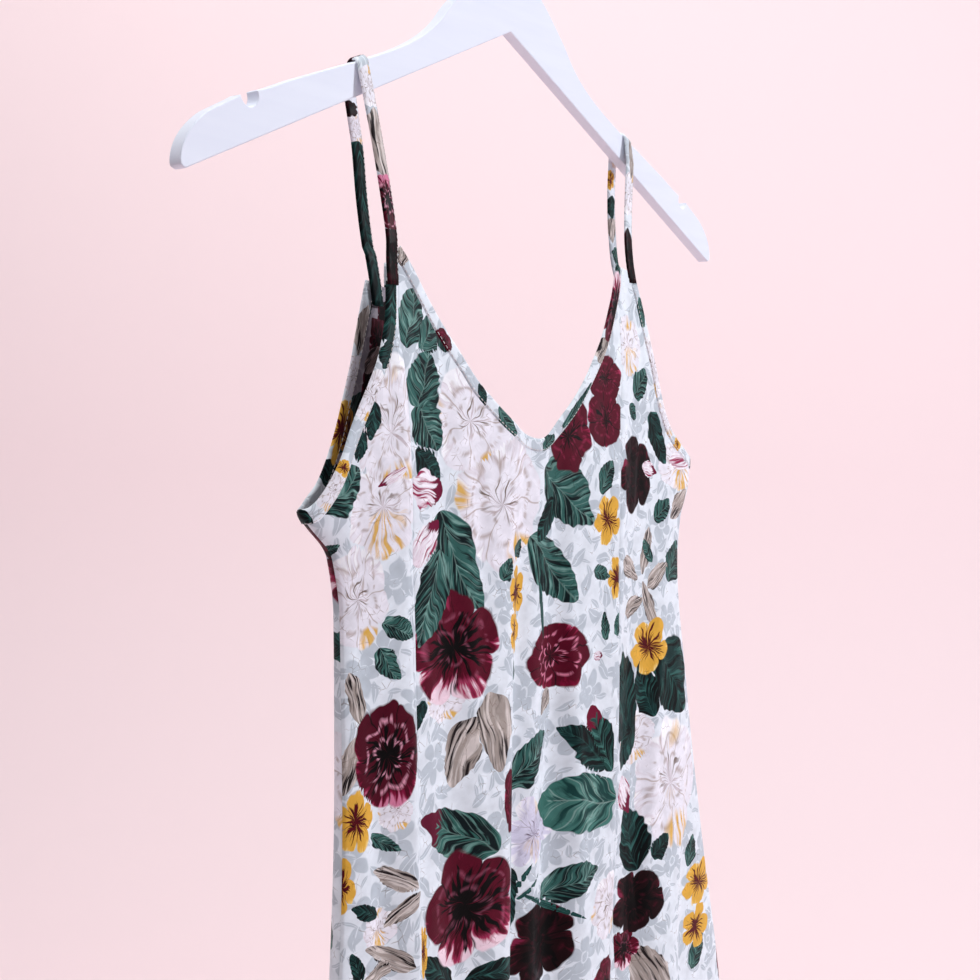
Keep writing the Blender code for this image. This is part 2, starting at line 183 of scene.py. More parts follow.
# metres; the wall stands beyond the dress along the camera's level direction
stage = {
    "color": "#F9E4E6",
    "roughness": 0.9,
    "belowHem": 0.22,
    "away": (0.79618, 0.60149, 0),
    "from": -4.0,
    "to": 1.2,
    "bend": 0.8,
    "bendSteps": 12,
    "wallTop": 4.0,
    "halfWidth": 6,
}


def setCamera():
    data = bpy.data.cameras.new("camera")
    data.lens, data.sensor_width = view["lens"], view["sensor"]
    data.clip_start, data.clip_end = view["clip"]
    camera = addObject("camera", data)
    right, up = Vector(view["right"]).normalized(), Vector(view["up"]).normalized()
    turn = Matrix((right, up, right.cross(up))).transposed().to_4x4()
    camera.matrix_world = Matrix.Translation(Vector(view["position"])) @ turn
    bpy.context.scene.camera = camera


def setStage():
    # a pale painted floor that runs up into a wall behind the dress
    floorZ = cadBox[0][2] - stage["belowHem"]
    forward = Vector(stage["away"]).normalized()
    side = Vector((-forward.y, forward.x, 0))
    end, bend = stage["to"], stage["bend"]
    profile = [(stage["from"], 0.0), (end, 0.0)]
    for k in range(1, stage["bendSteps"] + 1):
        angle = math.pi / 2 * k / stage["bendSteps"]
        profile.append((end + bend * math.sin(angle), bend * (1 - math.cos(angle))))
    profile.append((end + bend, stage["wallTop"]))
    points = [forward * away + side * across + Vector((0, 0, floorZ + height))
              for away, height in profile for across in (-stage["halfWidth"], stage["halfWidth"])]
    faces = [(2 * k, 2 * k + 1, 2 * k + 3, 2 * k + 2) for k in range(len(profile) - 1)]
    sweep = addPiece("studioSweep", newMesh("studioSweep", points, faces))
    paint = {"Base_Color": hexColor(stage["color"]), "Roughness": stage["roughness"]}
    sweep.data.materials.append(makeMaterial("palePaint", paint))


# name, place, aim, size in metres, watts, colour
lights = (
    ("keyFront", (1.45, -1.9, 0.5), (0, 0, -0.35), 0.5, 46, "#F4F9FF"),
    ("fillLeft", (-2.3, -0.9, 0.5), (0, 0, -0.5), 1.6, 5, "#F6F8FF"),
    ("backdropWash", (-0.4, 0.2, 2.0), (1.25, 1.5, -0.7), 2.0, 64, "#FFFFFF"),
)
roomLight = ("#F0F3FF", 0.17)       # colour and strength


def setLight():
    world = bpy.data.worlds.new("studio")
    world.use_nodes = True
    background = world.node_tree.nodes["Background"].inputs
    background["Color"].default_value = hexColor(roomLight[0])
    background["Strength"].default_value = roomLight[1]
    bpy.context.scene.world = world
    bpy.context.scene.view_settings.view_transform = "Standard"
    for name, place, aim, size, watts, color in lights:
        data = bpy.data.lights.new(name, "AREA")
        data.size, data.energy, data.color = size, watts, hexColor(color)[:3]
        lamp = addObject(name, data)
        lamp.location = place
        lamp.rotation_euler = (Vector(aim) - Vector(place)).to_track_quat("-Z", "Y").to_euler()


setCamera()
setStage()
setLight()
print("camera, stage and light are set")

# the hung body of the dress: every panel is cut from this shape
# millimetres: x, y and drop, measured down from the corner under the hanger's middle

bodyShape = {
    "railToCorner": 118.0,
    "columns": ("left", "right", "leftY", "rightY", "front", "back", "seamLeft", "seamRight"),
    "sections": (
        (100, -166, 188, -1, -4, 10, 12, -98.0, 89.0),
        (136, -163, 186, -2, -6, 11, 13, -98.3, 89.0),
        (158, -161, 184, -3, -8, 12, 15, -100.2, 87.5),
        (177, -160, 183, -4, -9, 13, 17, -97.8, 85.5),
        (200, -160, 182, -5, -10, 13, 20, -95.8, 83.0),
        (240, -155, 177, -7, -13, 12, 23, -94.0, 81.0),
        (262, -137, 166, -8, -14, 11, 25, -93.0, 80.0),
        (290, -133, 162, -9, -15, 10, 26, -91.0, 79.0),
        (370, -133, 174, -11, -17, 9, 30, -90.0, 79.5),
        (460, -136, 194, -12, -18, 9, 34, -89.0, 85.0),
        (580, -151, 222, -12, -20, 12, 38, -93.0, 92.0),
        (740, -187, 247, -12, -18, 18, 48, -103.0, 106.0),
        (910, -226, 268, -12, -14, 24, 56, -115.0, 121.0),
    ),
    "ringFlatness": 8,
    "ringCrown": 0.4,
    "hemDrop": 900.0,
    "hemTilt": 0.03,
    "lowest": 905.0,
    "foldGrowth": 0.8,              # power with which a fold deepens
    "foldWidening": (0.8, 0.5),     # share of its width at its start, and what the hem adds
    # folds that deepen towards the hem: side, x at start, x at hem, start, width, depth (out is positive)
    "folds": (
        ("front", -124, -168, 300, 15, -9),
        ("front", -62, -72, 280, 17, 7),
        ("front", -33, -34, 225, 12, 8),
        ("front", -15, -6, 235, 11, -11),
        ("front", 32, 56, 300, 24, 8),
        ("front", 66, 92, 330, 14, -8),
        ("front", 118, 152, 320, 20, 9),
        ("front", 146, 196, 360, 16, -9),
        ("back", -112, -160, 280, 20, 10),
        ("back", -70, -100, 300, 18, -11),
        ("back", -24, -38, 260, 22, 12),
        ("back", 22, 26, 290, 17, -12),
        ("back", 70, 88, 270, 22, 11),
        ("back", 114, 146, 310, 18, -12),
        ("back", 150, 206, 330, 20, 9),
    ),
    # creases: side, x, drop, degrees from the vertical, length, width to the left and to the right, depth
    "creases": (
        ("front", -93, 440, 2, 240, 12, 5, 7.0),
        ("front", -112, 450, 4, 210, 8, 9, -9.0),
        ("front", -124, 400, 4, 150, 6, 5, 6.0),
        ("front", -64, 440, 2, 210, 10, 13, -7.5),
        ("front", -48, 350, 3, 140, 7, 5, 1.8),
        ("front", -22, 425, -1, 250, 14, 5, 3.6),
        ("front", -11, 400, -2, 200, 5, 9, -2.4),
        ("front", 22, 450, -1, 240, 14, 13, -9.5),
        ("front", 40, 380, 2, 130, 6, 5, 1.8),
        ("front", 74, 430, -3, 240, 17, 6, 5.0),
        ("front", 91, 440, -4, 220, 5, 9, -4.0),
        ("front", 110, 440, -4, 200, 13, 12, -8.0),
        ("front", 128, 380, -7, 130, 8, 5, 2.6),
        ("front", 158, 430, -8, 190, 18, 7, 9.0),
        ("front", 60, 240, -8, 60, 6, 6, 1.4),
        ("front", -44, 246, 5, 50, 6, 6, -1.4),
        ("front", -100, 200, 3, 50, 6, 6, 1.6),
        ("back", -90, 400, 3, 190, 9, 5, 4.6),
        ("back", -40, 360, -4, 150, 6, 6, -3.2),
        ("back", 8, 420, 3, 200, 14, 5, 4.8),
        ("back", 52, 370, -3, 160, 6, 6, -3.0),
        ("back", 108, 420, -5, 180, 15, 6, 5.4),
    ),
}

sectionRows = np.array(bodyShape["sections"], float)


def sectionSlopes():
    drops, values = sectionRows[:, 0], sectionRows[:, 1:]
    steps = np.diff(values, axis=0) / np.diff(drops)[:, None]
    slopes = np.zeros_like(values)
    before, after = steps[:-1], steps[1:]
    same = before * after > 0
    slopes[1:-1][same] = (2 * before * after)[same] / (before + after)[same]
    return slopes


slopeRows = sectionSlopes()


def sectionAt(drop):
    # the section table at any drop, on a smooth curve through its rows
    drop = np.asarray(drop, float)
    drops = sectionRows[:, 0]
    i = np.clip(np.searchsorted(drops, drop, side="right") - 1, 0, len(drops) - 2)
    span = drops[i + 1] - drops[i]
    t = np.clip((drop - drops[i]) / span, 0, 1)
    values = {}
    for column, name in enumerate(bodyShape["columns"], start=1):
        a, b = sectionRows[i, column], sectionRows[i + 1, column]
        slopeA, slopeB = slopeRows[i, column - 1], slopeRows[i + 1, column - 1]
        values[name] = ((2 * t**3 - 3 * t**2 + 1) * a + (t**3 - 2 * t**2 + t) * span * slopeA
                        + (3 * t**2 - 2 * t**3) * b + (t**3 - t**2) * span * slopeB)
    return values


def foldOffset(side, x, drop, creased=True):
    offset = np.zeros(np.broadcast(x, drop).shape)
    hem = bodyShape["hemDrop"]
    widthAtStart, widening = bodyShape["foldWidening"]
    for foldSide, xStart, xHem, start, width, depth in bodyShape["folds"]:
        if foldSide == side:
            grown = np.clip((drop - start) / (hem - start), 0, None)
            middle = xStart + (xHem - xStart) * grown
            widened = width * (widthAtStart + widening * grown)
            offset += depth * grown**bodyShape["foldGrowth"] * np.exp(-((x - middle) / widened) ** 2)
    if creased:
        for creaseSide, xMid, dropMid, lean, length, before, after, depth in bodyShape["creases"]:
            if creaseSide == side:
                cosine, sine = math.cos(math.radians(lean)), math.sin(math.radians(lean))
                along = cosine * (drop - dropMid) + sine * (x - xMid)
                across = cosine * (x - xMid) - sine * (drop - dropMid)
                width = np.where(across < 0, before, after)
                offset += depth * np.exp(-(across / width) ** 2 - (along / length) ** 2)
    return offset


def clothPoint(side, x, drop, creased=True):
    # a point of the cloth as (x, y, drop); works on whole arrays
    x, drop = np.broadcast_arrays(np.asarray(x, float), np.asarray(drop, float))
    ring = sectionAt(drop)
    half = (ring["right"] - ring["left"]) / 2
    across = np.clip((x - ring["left"]) / half - 1, -1, 1)
    line = ring["leftY"] + (ring["rightY"] - ring["leftY"]) * (across + 1) / 2
    arch = 1 - across**2
    crown = bodyShape["ringCrown"]
    bulge = (1 - crown) * np.sqrt(1 - np.abs(across) ** bodyShape["ringFlatness"]) + crown * arch
    push = foldOffset(side, x, drop, creased) * arch
    y = line - ring["front"] * bulge - push if side == "front" else line + ring["back"] * bulge + push
    return np.stack([x, y, drop], axis=-1)


def clothLength(side, x, drop):
    # distance along the cloth at this level from x = 0, so that the print isn't stretched at the sides
    x, drop = np.broadcast_arrays(np.asarray(x, float), np.asarray(drop, float))
    total = np.zeros(x.shape)
    last = clothPoint(side, total, drop, False)
    steps = 30
    for k in range(1, steps + 1):
        here = clothPoint(side, x * k / steps, drop, False)
        total = total + np.hypot(here[..., 0] - last[..., 0], here[..., 1] - last[..., 1])
        last = here
    return np.sign(x) * total


def toFrame(points):
    points = np.asarray(points, float)
    moved = points.copy()
    moved[..., 2] = -(bodyShape["railToCorner"] + points[..., 2])
    return moved * 0.001


def smoothLine(points, step):
    # a rounded line through the points, with a point about every step
    points = [np.array(p, float) for p in points]
    ends = [2 * points[0] - points[1]] + points + [2 * points[-1] - points[-2]]
    line = []
    for a, b, c, d in zip(ends, ends[1:], ends[2:], ends[3:]):
        count = max(1, round(float(np.linalg.norm(c - b)) / step))
        for k in range(count):
            t = k / count
            line.append(0.5 * (2 * b + (c - a) * t + (2 * a - 5 * b + 4 * c - d) * t * t
                               + (3 * b - a - 3 * c + d) * t**3))
    return np.array(line + [points[-1]])


def shiftLine(line, distance):
    along = np.gradient(line, axis=0)
    along /= np.linalg.norm(along, axis=1)[:, None]
    return line + np.stack([-along[:, 1], along[:, 0]], axis=1) * distance


def dropOn(line, x):
    order = np.argsort(line[:, 0])
    return float(np.interp(x, line[order, 0], line[order, 1]))


# edges of the neck and the armholes, from the same tables as the solids

edgeShape = {
    "neckFront": ((-95, 119), (-88, 127), (-76, 143), (-62, 161), (-47, 178), (-34, 189), (-18, 201),
                  (-4, 208), (8, 210), (20, 206), (31, 197), (42, 186), (57, 169), (69, 154), (81, 133),
                  (90, 112)),
    "neckBack": ((-81, 124), (-77, 145), (-68, 166), (-54, 189), (-36, 208), (-10, 221), (22, 227),
                 (54, 222), (80, 210), (99, 191), (113, 168), (121, 146), (125, 122)),
    "armLeft": {
        "front": ((-106.6, 136), (-108.5, 152), (-112, 165), (-117, 177), (-124.5, 191), (-132, 205),
                  (-138.5, 218), (-146, 230), (-153.5, 238)),
        "back": ((-150, 239), (-142, 235.5), (-131, 228), (-122, 215), (-116, 202), (-111, 186),
                 (-106, 168), (-101.5, 148), (-98, 134)),
    },
    "armRight": {
        "front": ((112.4, 120), (117, 131), (121.5, 145), (127, 162), (132.5, 179), (139, 195),
                  (147, 207), (160, 216), (178, 225)),
        "back": ((175, 226), (168, 222), (160, 213), (154, 200), (149, 182), (146, 163), (144, 144),
                 (142, 123)),
    },
    "step": 3.0,            # millimetres between columns
    "rows": 210,
    "rowGrowth": 1.35,      # rows lie closer under the top edge
    "neckBinding": 7.0,
    "armBinding": 6.7,
    "neckEnd": 2.9,         # how far a neck binding's cut end runs on beside the strap
    "tuck": 2.6,            # how far a panel's raw edge goes into its folded binding
    "leftPeak": 124,
    "rightPeak": ((102.2, 114.8), (103.0, 118.8)),
    "backPeak": 134,
    "leftSeamTop": 158,
    "rightSeamTop": 134,
    # the hem's turned-up edge, inside: heights, and how far each is inside the cloth
    "hemRows": ((-0.7, 0.432), (0.3, 0.96), (4, 0.96), (9, 0.96), (14, 0.96)),
    "hemRowStep": 4,        # between those rows on the flat cloth
    "hemStitch": 13,        # height of the row of thread
    "seamDip": 0.35,        # the cloth rolls in this far where two panels are sewn together
    "seamRoll": 1.6,
    "turnSteps": (5, 3, 1.8, 0.9, 0.4),
    "seamClear": 0.3,       # points nearer to a side seam's line are left out
    "apart": 1,             # as are those nearer to a panel's corner
}
panelWall = 0.6
stitchLines = []        # where thread shows: rows of points in millimetres, x, y and drop


def armLine(end):
    # the armhole's outer edge unrolled about the side seam: s is positive on the front
    table = edgeShape["arm" + end.capitalize()]
    line = [(sign * abs(x - sectionAt(drop)[end]), drop)
            for sign, side in ((1, "front"), (-1, "back")) for x, drop in table[side]]
    line = smoothLine(line, edgeShape["step"])
    turns = list(edgeShape["turnSteps"]) + [0] + [-s for s in edgeShape["turnSteps"][::-1]]
    turn = np.array([(s, dropOn(line, s)) for s in turns])
    clear = edgeShape["turnSteps"][0] + 1
    return np.concatenate([line[line[:, 0] > clear], turn, line[line[:, 0] < -clear]])


def around(end, s, drop):
    # points of the cloth at the signed distance s from the side seam
    tip = sectionAt(drop)[end]
    x = tip + np.abs(s) if end == "left" else tip - np.abs(s)
    front, back = clothPoint("front", x, drop), clothPoint("back", x, drop)
    return np.where((np.asarray(s) >= 0)[..., None], front, back)


def armEdge(end, side):
    # the panel's own edge, tucked into the armhole's binding, from left to right
    line = shiftLine(armLine(end), -edgeShape["armBinding"] + edgeShape["tuck"])
    sign = 1 if side == "front" else -1
    seam = dropOn(line, 0)
    points = [(sectionAt(seam)[end], seam)]
    for s, drop in line:
        if s * sign > edgeShape["seamClear"]:
            tip = sectionAt(drop)[end]
            points.append((tip + abs(s) if end == "left" else tip - abs(s), drop))
    return sorted((float(x), float(drop)) for x, drop in points)


def neckEdge(table, depth):
    return shiftLine(smoothLine(edgeShape[table], edgeShape["step"]), depth)


# panels


def hangPanel(name, side, top, sides):
    # a column of cloth hangs from each point of the top edge and keeps its share of the panel's width
    leftX, rightX = (np.array([sides(drop)[k] for x, drop in top]) for k in (0, 1))
    topX, topDrop = np.array(top, float).T
    share = np.clip((topX - leftX) / (rightX - leftX), 0, 1)
    share[0], share[-1] = 0, 1
    hemDrop, hemTilt, rows = bodyShape["hemDrop"], bodyShape["hemTilt"], edgeShape["rows"]
    hemLeft, hemRight = sides(hemDrop)
    hem = hemDrop - hemTilt * (hemLeft + (hemRight - hemLeft) * share)
    grown = (np.arange(rows + 1) / rows) ** edgeShape["rowGrowth"]
    drop = topDrop + (hem - topDrop) * grown[:, None]
    left, right = sides(drop)
    x = left + (right - left) * share
    points = clothPoint(side, x, drop)

    # the seams roll in a little, so that a fine furrow shows between two panels
    outward = -1 if side == "front" else 1
    for sewn, edge in zip(sides.seams, (left, right)):
        if sewn:
            roll = np.exp(-((x - edge) / edgeShape["seamRoll"]) ** 2)
            points[..., 1] -= outward * edgeShape["seamDip"] * roll

    thread = clothPoint(side, x[-1], hem - edgeShape["hemStitch"])
    thread[:, 1] += outward * panelWall / 2
    stitchLines.append(thread)

    turned = []
    for height, inside in edgeShape["hemRows"]:
        row = clothPoint(side, x[-1], hem - height)
        row[:, 1] -= outward * inside
        turned.append(row)
    points = np.concatenate([points, np.array(turned)])
    count = len(turned)
    flatDrop = np.concatenate([drop, hem + edgeShape["hemRowStep"] * np.arange(1, count + 1)[:, None]])
    flatX = np.concatenate([x, np.repeat(x[-1:], count, axis=0)])
    length = clothLength(side, flatX, np.minimum(flatDrop, bodyShape["lowest"]))
    return makeSheet(name, points, np.stack([length, flatDrop], axis=-1), outward > 0)


def makeSheet(name, points, flat, facesBack):
    rows, columns = points.shape[:2]
    at = np.arange(rows * columns).reshape(rows, columns)
    quads = np.stack([at[:-1, :-1], at[:-1, 1:], at[1:, 1:], at[1:, :-1]], axis=-1).reshape(-1, 4)
    if not facesBack:
        quads = quads[:, ::-1]
    mesh = newMesh(name, toFrame(points.reshape(-1, 3)).tolist(), quads.tolist())
    layFlat(mesh, flat.reshape(-1, 2))
    return addPiece(name, mesh)


def addVectors(mesh, name, domain, columns):
    vectors = mesh.attributes.new(name, "FLOAT_VECTOR", domain)
    vectors.data.foreach_set("vector", np.column_stack(columns).astype(np.float32).ravel())


def layFlat(mesh, flat):
    # where each point of the piece lies on the flat cloth, in millimetres: the print is read from this
    addVectors(mesh, "clothPlace", "POINT", [flat, np.zeros(len(flat))])


def thicken(piece):
    # the inside has the wrong side's material, and the thin rim doesn't bend the shading beside it
    shell = piece.modifiers.new("clothWall", "SOLIDIFY")
    shell.thickness, shell.offset, shell.use_even_offset = panelWall * 0.001, 0, False
    shell.material_offset, shell.material_offset_rim = 1, 0
    settle = piece.modifiers.new("rimShading", "WEIGHTED_NORMAL")
    settle.weight, settle.keep_sharp = 100, False


def seamSides(left, right, sewnLeft, sewnRight):
    def sides(drop):
        ring = sectionAt(drop)
        return ring[left], ring[right]
    sides.seams = (sewnLeft, sewnRight)
    return sides


def cutPanels():
    depth, apart = edgeShape["neckBinding"] - edgeShape["tuck"], edgeShape["apart"]
    neck = neckEdge("neckFront", depth)

    sides = seamSides("seamLeft", "seamRight", True, True)
    left, right = sides(edgeShape["leftPeak"])[0], sides(edgeShape["rightSeamTop"])[1]
    top = [(float(left), dropOn(neck, left))]
    top += [tuple(p) for p in neck if left + apart < p[0] < right - apart]
    top.append((float(right), dropOn(neck, right)))
    panels = {"front_centre": hangPanel("frontCentre", "front", top, sides)}

    sides = seamSides("left", "seamLeft", False, True)
    edge = armEdge("left", "front")
    corner = float(sides(edgeShape["leftSeamTop"])[1])
    top = [p for p in edge if p[0] < corner - apart]
    top.append((corner, dropOn(np.array(edge), corner)))
    panels["front_side_left"] = hangPanel("frontSideLeft", "front", top, sides)

    sides = seamSides("seamRight", "right", True, False)
    corner = float(sides(edgeShape["rightSeamTop"])[0])
    top = [(corner, dropOn(neck, corner))] + [tuple(p) for p in neck if p[0] > corner + apart]
    top += list(edgeShape["rightPeak"]) + armEdge("right", "front")
    panels["front_side_right"] = hangPanel("frontSideRight", "front", top, sides)

    sides = seamSides("left", "right", False, False)
    peak = edgeShape["backPeak"]
    top = [p for p in armEdge("left", "back") if p[1] > peak]
    top += [tuple(p) for p in neckEdge("neckBack", depth) if p[1] > peak]
    top += [p for p in armEdge("right", "back") if p[1] > peak]
    panels["back_panel"] = hangPanel("backPanel", "back", top, sides)
    for piece in panels.values():
        thicken(piece)
    return panels


# folded strips: bindings and straps

stripShape = {
    "bindingWall": 1.9,
    "strapWall": 1.8,
    "strap": 8.0,
    "acrossSteps": 8,
    "roundness": 6,         # how square the strip's edges are
    "thinnest": 0.02,       # square of its edge's share of the wall
    "stitch": 6,            # the row across the strip that is sewn through, out of acrossSteps
    "bare": 2,              # rows at each end without thread
}


def lengthAlong(line):
    return np.concatenate([[0], np.cumsum(np.linalg.norm(np.diff(line, axis=0), axis=1))])


def makeStrip(name, middle, wall):
    # middle: a grid of points, along the strip by across it, inside a closed band with soft edges
    along, across = middle.shape[:2]
    t = np.linspace(-1, 1, across)
    full = 1 - np.abs(t) ** stripShape["roundness"]
    half = wall / 2 * np.sqrt(np.clip(full, stripShape["thinnest"], 1))
    upright = middle * (1, 1, -1)
    normal = np.cross(np.gradient(upright, axis=0), np.gradient(upright, axis=1))
    normal /= np.maximum(np.linalg.norm(normal, axis=-1), 1e-9)[..., None]
    normal[..., 2] *= -1
    upper = middle + normal * half[None, :, None]
    lower = middle - normal * half[None, :, None]
    ring = np.concatenate([upper, lower[:, ::-1]], axis=1)
    for face in (upper, lower):
        stitchLines.append(face[stripShape["bare"]:-stripShape["bare"], stripShape["stitch"]])
    around = ring.shape[1]
    distance, width = lengthAlong(middle[:, across // 2]), lengthAlong(middle[along // 2])
    flat = np.stack(np.broadcast_arrays(np.concatenate([width, width[::-1]]), distance[:, None]), axis=-1)
    at = np.arange(along * around).reshape(along, around)
    turned = np.roll(at, -1, axis=1)
    quads = np.stack([at[:-1], turned[:-1], turned[1:], at[1:]], axis=-1).reshape(-1, 4).tolist()
    for row, flip in ((at[0], True), (at[-1], False)):
        for k in range(across - 1):
            cap = [int(row[k]), int(row[k + 1]), int(row[around - 2 - k]), int(row[around - 1 - k])]
            quads.append(cap[::-1] if flip else cap)
    mesh = newMesh(name, toFrame(ring.reshape(-1, 3)).tolist(), quads)
    turnFacesOut(mesh)
    layFlat(mesh, flat.reshape(-1, 2))
    return addPiece(name, mesh)


def bandBetween(outer, inner):
    t = np.linspace(0, 1, stripShape["acrossSteps"])[None, :, None]
    band = outer[:, None, :] * (1 - t) + inner[:, None, :] * t
    return band[..., 0], band[..., 1]


def bindNeck(name, side, table):
    outer = neckEdge(table, 0)
    inner = neckEdge(table, edgeShape["neckBinding"])
    low, high = outer[0][0] - edgeShape["neckEnd"], outer[-1][0] + edgeShape["neckEnd"]
    inner[:, 0] = np.clip(inner[:, 0], low, high)
    return makeStrip(name, clothPoint(side, *bandBetween(outer, inner)), stripShape["bindingWall"])


def bindArmhole(name, end):
    outer = armLine(end)
    inner = shiftLine(outer, -edgeShape["armBinding"])
    return makeStrip(name, around(end, *bandBetween(outer, inner)), stripShape["bindingWall"])


strapShape = {
    "front": {
        "left": ((-102.4, -13.1, 137.6), (-102.2, -12.0, 126), (-101.6, -11.2, 115), (-103.6, -9.9, 99),
                 (-107, -8.9, 81), (-110.6, -7.8, 64), (-113, -6.8, 52)),
        "right": ((108.0, -13.6, 121.6), (106.6, -12.1, 110), (106.0, -11.0, 96), (107.8, -9.6, 79),
                  (110.6, -8.2, 63), (113.4, -6.8, 51)),
    },
    "back": {
        "left": ((-110.4, 6.8, 52), (-107.4, 7.0, 64), (-104.8, 7.2, 75), (-101.7, 7.4, 97),
                 (-98.0, 7.4, 116), (-93.6, 7.2, 134), (-91.0, 7.2, 146)),
        "right": ((115.6, 6.8, 51), (115.4, 7.0, 68), (117, 7.2, 88), (121, 7.2, 108), (127, 6.6, 122),
                  (132, 6.4, 138)),
    },
    "crossing": 114.0,      # where a strap crosses the board
    "slant": 1.5,           # how much nearer the middle its back half lies
    "bendSteps": 9,
    "flatTop": 6.0,         # it lies as the board slopes down to here, and then untwists
    "untwist": 26.0,
    "gap": 0.15,
    "backLap": 120,         # below this drop its back end lies inside the binding
    "lapGap": 0.2,
}


def cutStrap(end):
    direction = -1 if end == "left" else 1
    crossing, wall = strapShape["crossing"], stripShape["strapWall"]
    half = stripShape["strap"] / 2
    slope = math.atan2(boardTop(crossing + half) - boardTop(crossing - half), 2 * half)
    bend = boardShape["rounding"] + strapShape["gap"] + wall / 2
    over = []
    quarter = [math.pi / 2 * k / strapShape["bendSteps"] for k in range(strapShape["bendSteps"] + 1)]
    for face, angle in [(-1, angle) for angle in quarter] + [(1, angle) for angle in quarter[::-1]]:
        y = face * (boardShape["thickness"] / 2 - boardShape["rounding"] + bend * math.cos(angle))
        x = crossing - strapShape["slant"] * (y / boardShape["thickness"] + 0.5)
        lift = (boardShape["rounding"] - bend * math.sin(angle)) / math.cos(slope)
        over.append((direction * x, y, boardTop(x) + lift))
    front, back = (smoothLine(strapShape[side][end], edgeShape["step"]) for side in ("front", "back"))
    path = np.concatenate([front, np.array(over), back])
    width = np.linspace(-0.5, 0.5, stripShape["acrossSteps"]) * stripShape["strap"]
    rows = []
    for point in path:
        below = max(point[2] - boardTop(crossing) - strapShape["flatTop"], 0)
        tilt = slope * max(0.0, 1 - below / strapShape["untwist"])
        across = np.array((math.cos(tilt), 0, direction * math.sin(tilt)))
        row = point + width[:, None] * across
        if point[1] > 0 and point[2] > strapShape["backLap"]:
            cloth = clothPoint("back", row[:, 0], row[:, 2])[:, 1].min()
            inside = (stripShape["bindingWall"] + wall) / 2 + strapShape["lapGap"]
            row[:, 1] = np.minimum(row[:, 1], cloth - inside)
        rows.append(row)
    return makeStrip("strap" + end.capitalize(), np.array(rows), wall)


# hanger and hook

boardShape = {
    "thickness": 7.0,
    "rounding": 2.6,
    "upper": ((0, -37), (8, -36.4), (14, -33), (19, -28.6), (27, -22.5), (35, -16), (49, -3), (58, 6.8),
              (69, 15.5), (84, 24), (104, 32.8), (130, 43), (155, 52.6), (170, 59), (176.2, 61.2)),
    "tip": ((191, 67.4), (199, 71.6), (206, 75.6), (213, 81.8), (217.4, 88), (219.4, 94), (219.2, 98.2),
            (216.6, 99.4)),
    "notch": (182.4, 64.6, 4.7),        # its middle and radius
    "notchArc": (148, 206, 16),         # degrees at its start, degrees round it, steps
    "roundingSteps": 4,
    "upperStep": 2.5,
    "tipStep": 1.5,
    "readStep": 4,                      # for finding the height of its top
}
# the hook's drops are from the rail; its bow runs from the join to the end, in degrees
hookShape = {
    "wire": 3.6,
    "radius": 19.0,
    "seat": 14.0,
    "join": -50,
    "end": 208,
    "boardTop": 37.0,
    "straightTo": 72.0,
    "shankTop": 56.0,
    "ease": 11.0,
    "easeSteps": 12,
    "bowSteps": 48,
    "sides": 16,
    "domedEnd": (1.45, 1.0, 0.5),
}


def boardTop(x):
    return dropOn(smoothLine(boardShape["upper"], boardShape["readStep"]), x)


def makeBoard():
    notchX, notchDrop, radius = boardShape["notch"]
    half = [tuple(p) for p in smoothLine(boardShape["upper"], boardShape["upperStep"])]
    start, sweep, steps = boardShape["notchArc"]
    for k in range(steps + 1):
        angle = math.radians(start + sweep * k / steps)
        half.append((notchX + radius * math.cos(angle), notchDrop - radius * math.sin(angle)))
    half += [tuple(p) for p in smoothLine(boardShape["tip"], boardShape["tipStep"])]
    outline = half + [(0, 0)] + [(-x, drop) for x, drop in reversed(half[1:])]
    curve = bpy.data.curves.new("boardOutline", "CURVE")
    curve.dimensions, curve.fill_mode = "2D", "BOTH"
    curve.extrude = boardShape["thickness"] / 2000
    spline = curve.splines.new("POLY")
    spline.points.add(len(outline) - 1)
    for point, (x, drop) in zip(spline.points, outline):
        point.co = (x / 1000, -(bodyShape["railToCorner"] + drop) / 1000, 0, 1)
    spline.use_cyclic_u = True
    mesh = meshOf(addObject("boardOutline", curve))
    mesh.transform(Matrix.Rotation(math.pi / 2, 4, "X"))
    turnFacesOut(mesh, True)
    board = addPiece("hangerBoard", mesh)
    rounding = board.modifiers.new("softEdges", "BEVEL")
    rounding.width, rounding.segments = boardShape["rounding"] / 1000, boardShape["roundingSteps"]
    rounding.limit_method, rounding.angle_limit = "ANGLE", math.radians(60)
    rounding.harden_normals = True
    return board


def makeHook():
    wire, radius = hookShape["wire"], hookShape["radius"]
    centre = np.array((0, -(radius - wire / 2)))
    join, end = math.radians(hookShape["join"]), math.radians(hookShape["end"])
    shank = np.array((0, -hookShape["shankTop"]))
    meet = centre + radius * np.array((math.cos(join), math.sin(join)))
    lean = np.array((-math.sin(join), math.cos(join)))
    foot = bodyShape["railToCorner"] - hookShape["boardTop"] + hookShape["seat"]
    path = [np.array((0, -foot)), np.array((0, -hookShape["straightTo"]))]
    ease = hookShape["ease"]
    a, b, c, d = shank, shank + np.array((0, ease)), meet - ease * lean, meet
    for t in np.arange(hookShape["easeSteps"]) / hookShape["easeSteps"]:
        path.append((1 - t)**3 * a + 3 * t * (1 - t)**2 * b + 3 * t * t * (1 - t) * c + t**3 * d)
    for angle in np.linspace(join, end, hookShape["bowSteps"] + 1):
        path.append(centre + radius * np.array((math.cos(angle), math.sin(angle))))
    return makeTube("hangerHook", [(float(x), 0.0, float(z)) for x, z in path], wire / 2)


